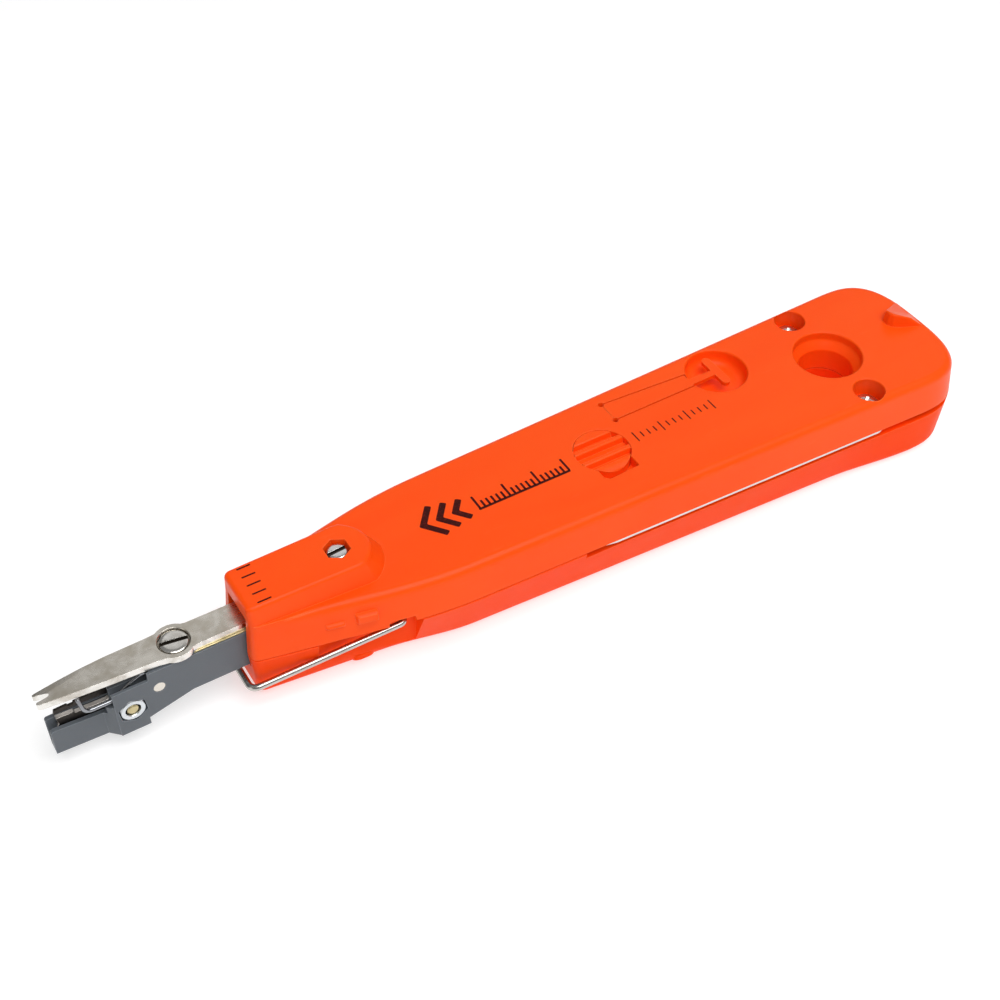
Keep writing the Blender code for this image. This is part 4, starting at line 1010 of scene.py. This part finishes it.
def butt_screw(node, side):
    low, high = span(node)
    x, y = BUTT_SCREWS[side > 0]
    base = high.z - 0.9
    pan = ((2.2, 0), (2.3, 0.1), (2.28, 0.35), (2, 0.68), (1.5, 0.84), (0.9, 0.9))
    item = solid(turned(x, y, [(r, base + up) for r, up in pan], 48))
    join(item, turned(x, y, [(0.9, low.z), (1.2, low.z + 0.4), (1.2, base + 0.3)], 32))
    for turn in (35, 125):
        foot = ring(box(x - 0.5, y - 0.2, x + 0.5, y + 0.2), high.z - 0.6)
        top = ring(box(x - 1.3, y - 0.34, x + 1.3, y + 0.34), high.z + 0.3)
        cut(item, spin(loft([foot, top]), x, y, turn))
    finish(item, node + "_head", "casing", STEEL, "bright_steel", node, 0.05)


def clamp_nut():
    """The hexagon nut, with its outer corners turned off."""
    low, high = span("clamp_nut")
    clamp = (CLAMP_X, CLAMP_Z)
    item = solid(prism(hexagon(*clamp, NUT_CORNER, NUT_TILT), low.y, high.y, "Y"))
    cone = [(3.4, high.y + 1), (3.4, low.y + 1), (2, low.y + 0.06), (2, low.y - 0.4)]
    combine(item, bar(clamp, cone, 64), "INTERSECT")
    bore = [(1.5, low.y - 0.3), (1.36, low.y - 0.02), (1.25, low.y + 0.2), (1.25, high.y + 1)]
    cut(item, bar(clamp, bore))
    finish(item, "block_nut", "head", ZINC, "zinc_plate", "clamp_nut", 0.05)


def clamp_screw():
    low, high = span("clamp_screw")
    clamp = (CLAMP_X, CLAMP_Z)
    shank = [(0.75, low.y), (0.95, low.y + 0.15), (0.98, low.y + 0.3), (0.95, high.y - 0.5)]
    item = solid(bar(clamp, shank))
    head = ((1.7, -0.8), (1.85, -0.7), (1.85, -0.2), (1.6, 0))
    join(item, bar(clamp, [(r, high.y + back) for r, back in head]))
    groove = (CLAMP_X - 3, high.y - 0.35, CLAMP_Z - 0.25), (CLAMP_X + 3, high.y + 1, CLAMP_Z + 0.25)
    cut(item, block(*groove))
    finish(item, "block_screw", "head", BRASS, "brass", "clamp_screw", 0.04)


def cross_pin():
    low, high = span("cross_pin")
    end = [(0.85, 0.02), (0.97, 0.06), (1, 0.3)]
    profile = [(r, low.y + y) for r, y in end] + [(r, high.y - y) for r, y in reversed(end)]
    item = solid(bar((PIN_X, PIN_Z), profile))
    finish(item, "stem_pin", "head", NICKEL, "nickel_plate", "cross_pin")


# ---- head


def head_side():
    shape = [(STEM_REAR_X, STEM_TOP), (BLOCK_REAR_X + 1.1, STEM_TOP)]
    shape += [(BLOCK_REAR_X + 1, BLOCK_TOP), (BLOCK_FRONT_X, BLOCK_TOP)]
    shape += [(BLOCK_FRONT_X, BLOCK_BOTTOM), (BLOCK_REAR_X, BLOCK_BOTTOM)]
    return shape + [(BLOCK_REAR_X, 5.35), (-65.4, STEM_BOTTOM), (STEM_REAR_X, STEM_BOTTOM)]


def head_arm():
    near = [(ARM_TIP_X, -ARM_HALF), (BLOCK_FRONT_X - 1.55, -ARM_HALF)]
    near += [(BLOCK_FRONT_X + 0.2, -STEM_HALF), (BLOCK_FRONT_X + 0.6, -STEM_HALF)]
    return prism(both_sides(near, 0), BLOCK_BOTTOM, ARM_TOP)


def head_body():
    item = solid(prism(head_side(), -STEM_HALF, STEM_HALF, "Y"))
    join(item, block((HEAD_HIGH.x - 6, HEAD_LOW.y, HEAD_LOW.z), (*HEAD_HIGH.xy, 14.5)), head_arm())
    tip, front, side = ARM_TIP_X, BLOCK_FRONT_X, STEM_HALF + 1
    near_top = [(tip, 8.6)] + arc(tip + 0.7, ARM_TOP - 1.85, 0.7, 180, 85, 6)
    near_top += [(front - 1, ARM_REAR_TOP - 0.15), (front - 1, 14), (tip - 1, 14), (tip - 1, 8.6)]
    cut(item, prism(near_top, -side, 0.2, "Y"))
    far_tip = [(tip, ARM_TOP - 0.5)] + arc(tip + 0.5, ARM_TOP - 0.5, 0.5, 180, 92, 6)
    far_tip += [(tip + 0.5, 12), (tip - 1, 12), (tip - 1, ARM_TOP - 0.5)]
    cut(item, prism(far_tip, 0.1, side, "Y"))
    heel = [(tip - 1, BLOCK_BOTTOM + 0.5), (front - 1.6, BLOCK_BOTTOM), (front - 1.6, 2)]
    cut(item, prism(heel + [(tip - 1, 2)], -side, side, "Y"))
    cut(item, block((tip - 1, -0.55, 6.4), (-73.4, 0.55, BLOCK_TOP + 1)))
    near, far = SENSOR_Y - 0.6, SENSOR_Y + 0.6
    cut(item, block((front - 3, near, 10.6), (PIN_X - 1, far, STEM_TOP + 1)))
    pin = (PIN_X, PIN_Z)
    clamp = (CLAMP_X, CLAMP_Z)
    cut(item, rod(pin, 2.35, near, far))
    pocket = hexagon(*clamp, NUT_CORNER + 0.22, NUT_TILT)
    cut(item, prism(pocket, -side, -STEM_HALF + 1.6, "Y"))
    cut(item, rod(clamp, 2.2, STEM_HALF - 0.9, side), rod(pin, 1.04, -5, 5))
    cut(item, rod(clamp, 1.25, -STEM_HALF + 0.5, 5), post(PIVOT_X, 0, 1.55, 8.7, STEM_TOP + 1, 32))
    long_slot = arc(SCREW_X + 0.9, 0, 1.35, -90, 90, 10) + arc(SCREW_X - 8.9, 0, 1.35, 90, 270, 10)
    cut(item, prism(long_slot, STEM_BOTTOM - 2, STEM_TOP + 2))
    cut(item, post(0, SPRING_Z, 1.9, HEAD_HIGH.x - 12, HEAD_HIGH.x + 1, 40, "X"))
    finish(item, "head_block", "head", GREY, "grey_plastic", "head_body", 0.13)


def lever_plan():
    """Fork tips, blade, round lobe at the pivot and a straight tail."""
    tip = LEVER_LOW.x
    rear = LEVER_HIGH.x
    near = [(tip + 0.3, -0.62), (tip + 0.12, -0.82), (tip + 0.15, -1.08), (tip + 0.5, -1.32)]
    near += [(-84.5, -1.72), (-77.8, -2.18), (-72, -2.45), (-69.7, -2.62)]
    near += [(PIVOT_X + x, y) for x, y in arc(0, 0, 3.5, -126, -50, 14)]
    near += [(-63.2, -2.52), (rear - 0.3, -2.5), (rear, -2.2)]
    far = [(rear, 2.2), (rear - 0.3, 2.5), (-63.2, 2.52)]
    far += [(PIVOT_X + x, y) for x, y in arc(0, 0, 3.5, 50, 126, 14)]
    far += [(-69.7, 2.72), (-77.5, 2.55), (-81, 2.38), (-84.5, 2.02), (-87.2, 1.62)]
    far += [(tip + 0.4, 1.4), (tip + 0.1, 1.2), (tip + 0.08, 0.98), (tip + 0.35, 0.78)]
    notch = [(-87.9, 0.62), (-87.2, 0.42), (-86.8, 0.2), (-86.65, -0.02), (-86.8, -0.24)]
    return near + far + notch + [(-87.2, -0.42)]


def scissor_lever():
    """The lever, ground along its far front edge."""
    low = LEVER_LOW.z
    top = LEVER_HIGH.z
    item = solid(prism(lever_plan(), low, top))
    bevelled = [(-91, -0.72, 0), (-75.6, 2.75, 0), (-76.7, 7.6, -0.8), (-92.1, 4.1, -0.8)]
    ground = [(x, y, top + h) for x, y, h in bevelled]
    cut(item, loft([ground, [(x, y, top + 2) for x, y, h in bevelled]]))
    seat = [(1.45, low - 0.2), (1.6, low + 0.35), (2.62, low + 0.5), (2.62, top - 0.16)]
    cut(item, turned(PIVOT_X, 0, seat + [(2.72, top - 0.03), (2.95, top + 0.2)]))
    finish(item, "lever_plate", "lever", NICKEL, "nickel_plate", "scissor_lever", 0.12)
    # The side faces get the brighter nickel, painted as their reflection of the bright floor.
    tint(item, NICKEL_SIDE_PAINTED_SHEEN, lambda face: abs(face.normal.z) < 0.5)


def blades():
    shape = [(-86.9, 7), (-86.9, 9.5), (-86.6, 9.8), (-86.85, 11.3), (-84, 11.15)]
    shape += [(-83.8, 10.8), (-78.8, 10.6), (-77, 11.2), (-74, 11.2), (-73.8, 7)]
    item = solid(prism(shape, -0.42, 0.42, "Y"))
    cut(item, rod((CLAMP_X, CLAMP_Z), 1.3, -2, 2))
    finish(item, "inserter_edge", "head", BLADE_BRIGHT, "bright_steel", "inserter_blade", 0.08)
    # The inserter's side faces get the dark steel: painted shade of the slot they stand in.
    tint(item, BLADE_BLACK_AND_SIDE_SHADE, lambda face: abs(face.normal.y) > 0.5)
    shape = [(-87, 12.2), (-86.8, 13.05), (-84.6, 13.15), (-84.5, 12.85), (-83.7, 12.85)]
    shape += [(-83.6, 13.2), (-77.5, 13.5), (-74, 13.5), (-73.9, 11.95), (-77.2, 11.95)]
    item = solid(prism(shape + [(-79, 12.1), (-82.6, 12.3)], -0.25, 0.25, "Y"))
    finish(item, "cutter_edge", "head", BLADE_BLACK_AND_SIDE_SHADE, "dark_steel", "fixed_blade", 0.05)


def sensor_wires():
    """The bent feeler on the cross pin, and the spring wire above it."""
    curl = [(PIN_X + x, PIN_Z + z) for x, z in arc(0, 0, 1.75, -60, 150, 22)]
    run = ring([(-73.4, 11.95), (-78.5, 11.7), (-82.6, 11.75), (-83.15, 15.35)], SENSOR_Y, "Y")
    item = wire(ring(curl, SENSOR_Y, "Y") + bent_path(run, 1.3), 0.35)
    finish(item, "feeler_wire", "sensor", FEELER, "steel_wire", "sensor_wire", sharp=60)
    run = ring([(-72.25, 14.85), (-73.4, 14.7), (-76.8, 12.85)], SENSOR_Y, "Y")
    item = wire(smooth_path(run), 0.22, sides=14)
    finish(item, "feeler_spring_wire", "head", FEELER, "spring_steel", "sensor_spring", sharp=60)


def lever_shim():
    shape = [(-64.6, -2.2), (-64, -2.75), (-51, -2.9), (-51, -1.6), (-64, -1.6)]
    item = solid(prism(shape, STEM_TOP + 0.03, LEVER_LOW.z - 0.06))
    finish(item, "lever_leaf", "head", BRASS, "brass", edge=0.02)


# ---- inside and below


def fold_tool(node, name, body, side):
    """A fold-out tool with a plain or a hooked tip."""
    low, high = span(node)
    half = (low.z + high.z) / 2
    tip = [(62, 14.3)]
    if side > 0:
        tip = [(66.6, 14.4), (66, 14.6), (64.8, 14.6), (64.3, 14.3)]

    def shape(inset):
        root_y, tip_y = (top_half(x) + DRAFT - 0.2 - inset for x in (9.5, 66.9))
        points = arc(*FOLD_PINS[1], 4, -60, -180, 16)
        points += [(6.5, 11.6), (7.4, root_y - 0.4), (9.5, root_y), (66.9, tip_y)]
        points += [(67.9, tip_y - 0.25), (68.2, tip_y - 0.9)] + tip + [(50, 12.1), (20, 7.4)]
        return [(x, side * y) for x, y in points]

    item = solid(prism(shape(0), half, high.z))
    join(item, prism(shape(0.55), low.z, half + 0.1))
    cut(item, post(*FOLD_PINS[side > 0], 1.35, low.z - 1, high.z + 1, 32))
    finish(item, name, body, STEEL, "bright_steel", node, 0.12)


def nose_nut():
    low, high = span("nose_nut")
    item = solid(prism(hexagon(SCREW_X, 0, NUT_CORNER), low.z, high.z))
    cone = [(2, low.z - 0.4), (2, low.z + 0.06), (3.4, low.z + 1), (3.4, high.z + 1)]
    combine(item, turned(SCREW_X, 0, cone), "INTERSECT")
    bore = [(1.45, low.z - 0.2), (1.25, low.z + 0.2), (1.25, high.z + 1)]
    cut(item, turned(SCREW_X, 0, bore, 40))
    finish(item, "underside_nut", "casing", ZINC, "zinc_plate", "nose_nut", 0.05)


def coil(node, gap, thickness, turns, axis):
    """A spring's wire, wound between the ends of its CAD node."""
    low, high = span(node)
    centre = middle(node)
    radius = (high.y - low.y) / 2 - gap
    k = "XYZ".index(axis)
    cx, cy = (*centre[:k], *centre[k + 1 :])
    length = high[k] - low[k] - 2 * thickness
    count = 20 * turns
    points = []
    for i in range(count + 1):
        a = tau * turns * i / count
        pair = (cx + radius * cos(a), cy + radius * sin(a))
        points += ring([pair], low[k] + thickness + length * i / count, axis)
    return wire(points, thickness, sides=10)


def springs():
    """The two springs' wires, each wound between the ends of its CAD node."""
    item = coil("main_spring", 0.32, 0.3, 18, "X")
    finish(item, "main_coil", "casing", SPRING, "spring_steel", "main_spring", sharp=60)
    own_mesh(item)
    item = coil("button_spring", 0.22, 0.2, 4, "Z")
    finish(item, "button_coil", "casing", SPRING, "spring_steel", "button_spring", sharp=60)
    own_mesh(item)


def hidden_parts():
    """Gives the CAD nodes inside the casing their finishes."""
    finishes = {"cam_insert": BRASS, "retainer_plate": ZINC}
    finishes.update({"spring_rod": STEEL, "blade_pin": STEEL, "hook_pin": STEEL})
    for node, material in finishes.items():
        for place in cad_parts[node].material_slots:
            place.material = material


# ---- printed marks


def print_mark(name, outlines, z):
    bm = bmesh.new()
    for shape in outlines:
        prism(shape, z - 0.02, z + 0.012, bm=bm)
    finish(solid(bm), name, "casing", INK, "orange_plastic", sharp=80)


def bar_shape(x0, y0, x1, y1, width):
    a = Vector((x0, y0))
    b = Vector((x1, y1))
    run = (b - a).normalized()
    side = Vector((-run.y, run.x)) * width / 2
    return softened([a - side, b - side, b + side, a + side], width * 0.4, 2)


def chevron_shape(x, y, reach, width):
    """A V that points towards -X, with arms of one width."""
    run = Vector((0.8, 1)).normalized()
    across = Vector((-run.y, run.x)) * width / 2
    tip = width / 2 / run.y
    end = Vector((x + 0.8 * reach, reach))
    arm = [tuple(end + across), tuple(end - across)]
    points = [(x - tip, 0)] + arm + [(x + tip, 0)] + [(a, -b) for a, b in reversed(arm)]
    return softened([(a, y + b) for a, b in points], 0.3, 3)


def printed_marks():
    reaches = enumerate((3.6, 3, 2.4))
    chevrons = [chevron_shape(-21 + 3.1 * i, 0.3, reach, 1.15) for i, reach in reaches]
    print_mark("mark_chevrons", chevrons, TOP_Z)
    scale = [bar_shape(-11, -1.2, 7.4, -1.2, 0.5)]
    for i in range(19):
        height = 3.2 if i % 6 == 0 else 1.7
        scale.append(bar_shape(-10.7 + i, -1.1, -10.7 + i, -1.1 + height, 0.42))
    print_mark("mark_scale", scale, TOP_Z)
    short = []
    for i in range(13):
        height = 1.3 if i % 4 == 0 else 0.7
        short.append(bar_shape(22 + 1.4 * i, -height, 22 + 1.4 * i, height, 0.24))
    print_mark("mark_ticks", short, TOP_Z)
    nose = [bar_shape(-53, -4 + 2 * i, -50.6, -4 + 2 * i, 0.3) for i in range(5)]
    print_mark("mark_nose", nose, PAD_Z)


# ---- studio


def studio_floor():
    bm = bmesh.new()
    bmesh.ops.create_grid(bm, x_segments=8, y_segments=8, size=3000)
    item = solid(bm, "floor")
    item.location.z = -0.05 * MM
    item.data.materials.append(floor_material())


def area_light(name, place, size, power):
    """A panel that faces the middle of the frame."""
    data = bpy.data.lights.new(name, "AREA")
    data.shape = "RECTANGLE"
    data.size, data.size_y = size
    data.energy = power
    item = linked(name, data)
    item.location = place
    item.rotation_euler = (-Vector(place)).to_track_quat("-Z", "Y").to_euler()


def studio_lights():
    world = bpy.data.worlds.new("studio")
    world.use_nodes = True
    back = world.node_tree.nodes["Background"]
    back.inputs["Color"].default_value = (1, 1, 1, 1)
    back.inputs["Strength"].default_value = 0.22
    bpy.context.scene.world = world
    area_light("overhead", (0.02, -0.34, 0.78), (0.8, 0.6), 6.8)
    area_light("back_panel", (0.4, 0.6, 0.62), (0.9, 0.6), 0.95)
    area_light("left_fill", (-0.75, -0.1, 0.2), (0.3, 0.4), 0.35)


def camera():
    """The photo's camera, as it was fitted to points on the photo."""
    place = (-0.10294, -0.15808, 0.20641)
    yaw, pitch, roll = radians(31.479), radians(45.593), radians(0.414)
    ahead = Vector((sin(yaw) * cos(pitch), cos(yaw) * cos(pitch), -sin(pitch)))
    level = Vector((cos(yaw), -sin(yaw), 0))
    upright = level.cross(ahead)
    right = level * cos(roll) + upright * sin(roll)
    up = upright * cos(roll) - level * sin(roll)
    data = bpy.data.cameras.new("photo_camera")
    data.lens = 55.57
    data.sensor_width = 36
    data.clip_start = 0.01
    item = linked("photo_camera", data)
    turn = Matrix((right, up, -ahead)).transposed().to_4x4()
    item.matrix_world = Matrix.Translation(place) @ turn
    bpy.context.scene.camera = item


# ---- build

upper_shell()
lower_shell()
round_button()
release_tongue()
bail()
nose_screw()
butt_screw("butt_screw_far", 1)
butt_screw("butt_screw_near", -1)
pivot_screw()
clamp_nut()
clamp_screw()
cross_pin()
head_body()
scissor_lever()
blades()
sensor_wires()
lever_shim()
fold_tool("fold_out_blade", "folding_blade", "blade", -1)
fold_tool("fold_out_hook", "folding_hook", "hook", 1)
nose_nut()
springs()
hidden_parts()
printed_marks()
studio_floor()
studio_lights()
camera()
bpy.context.scene.view_settings.view_transform = "Standard"
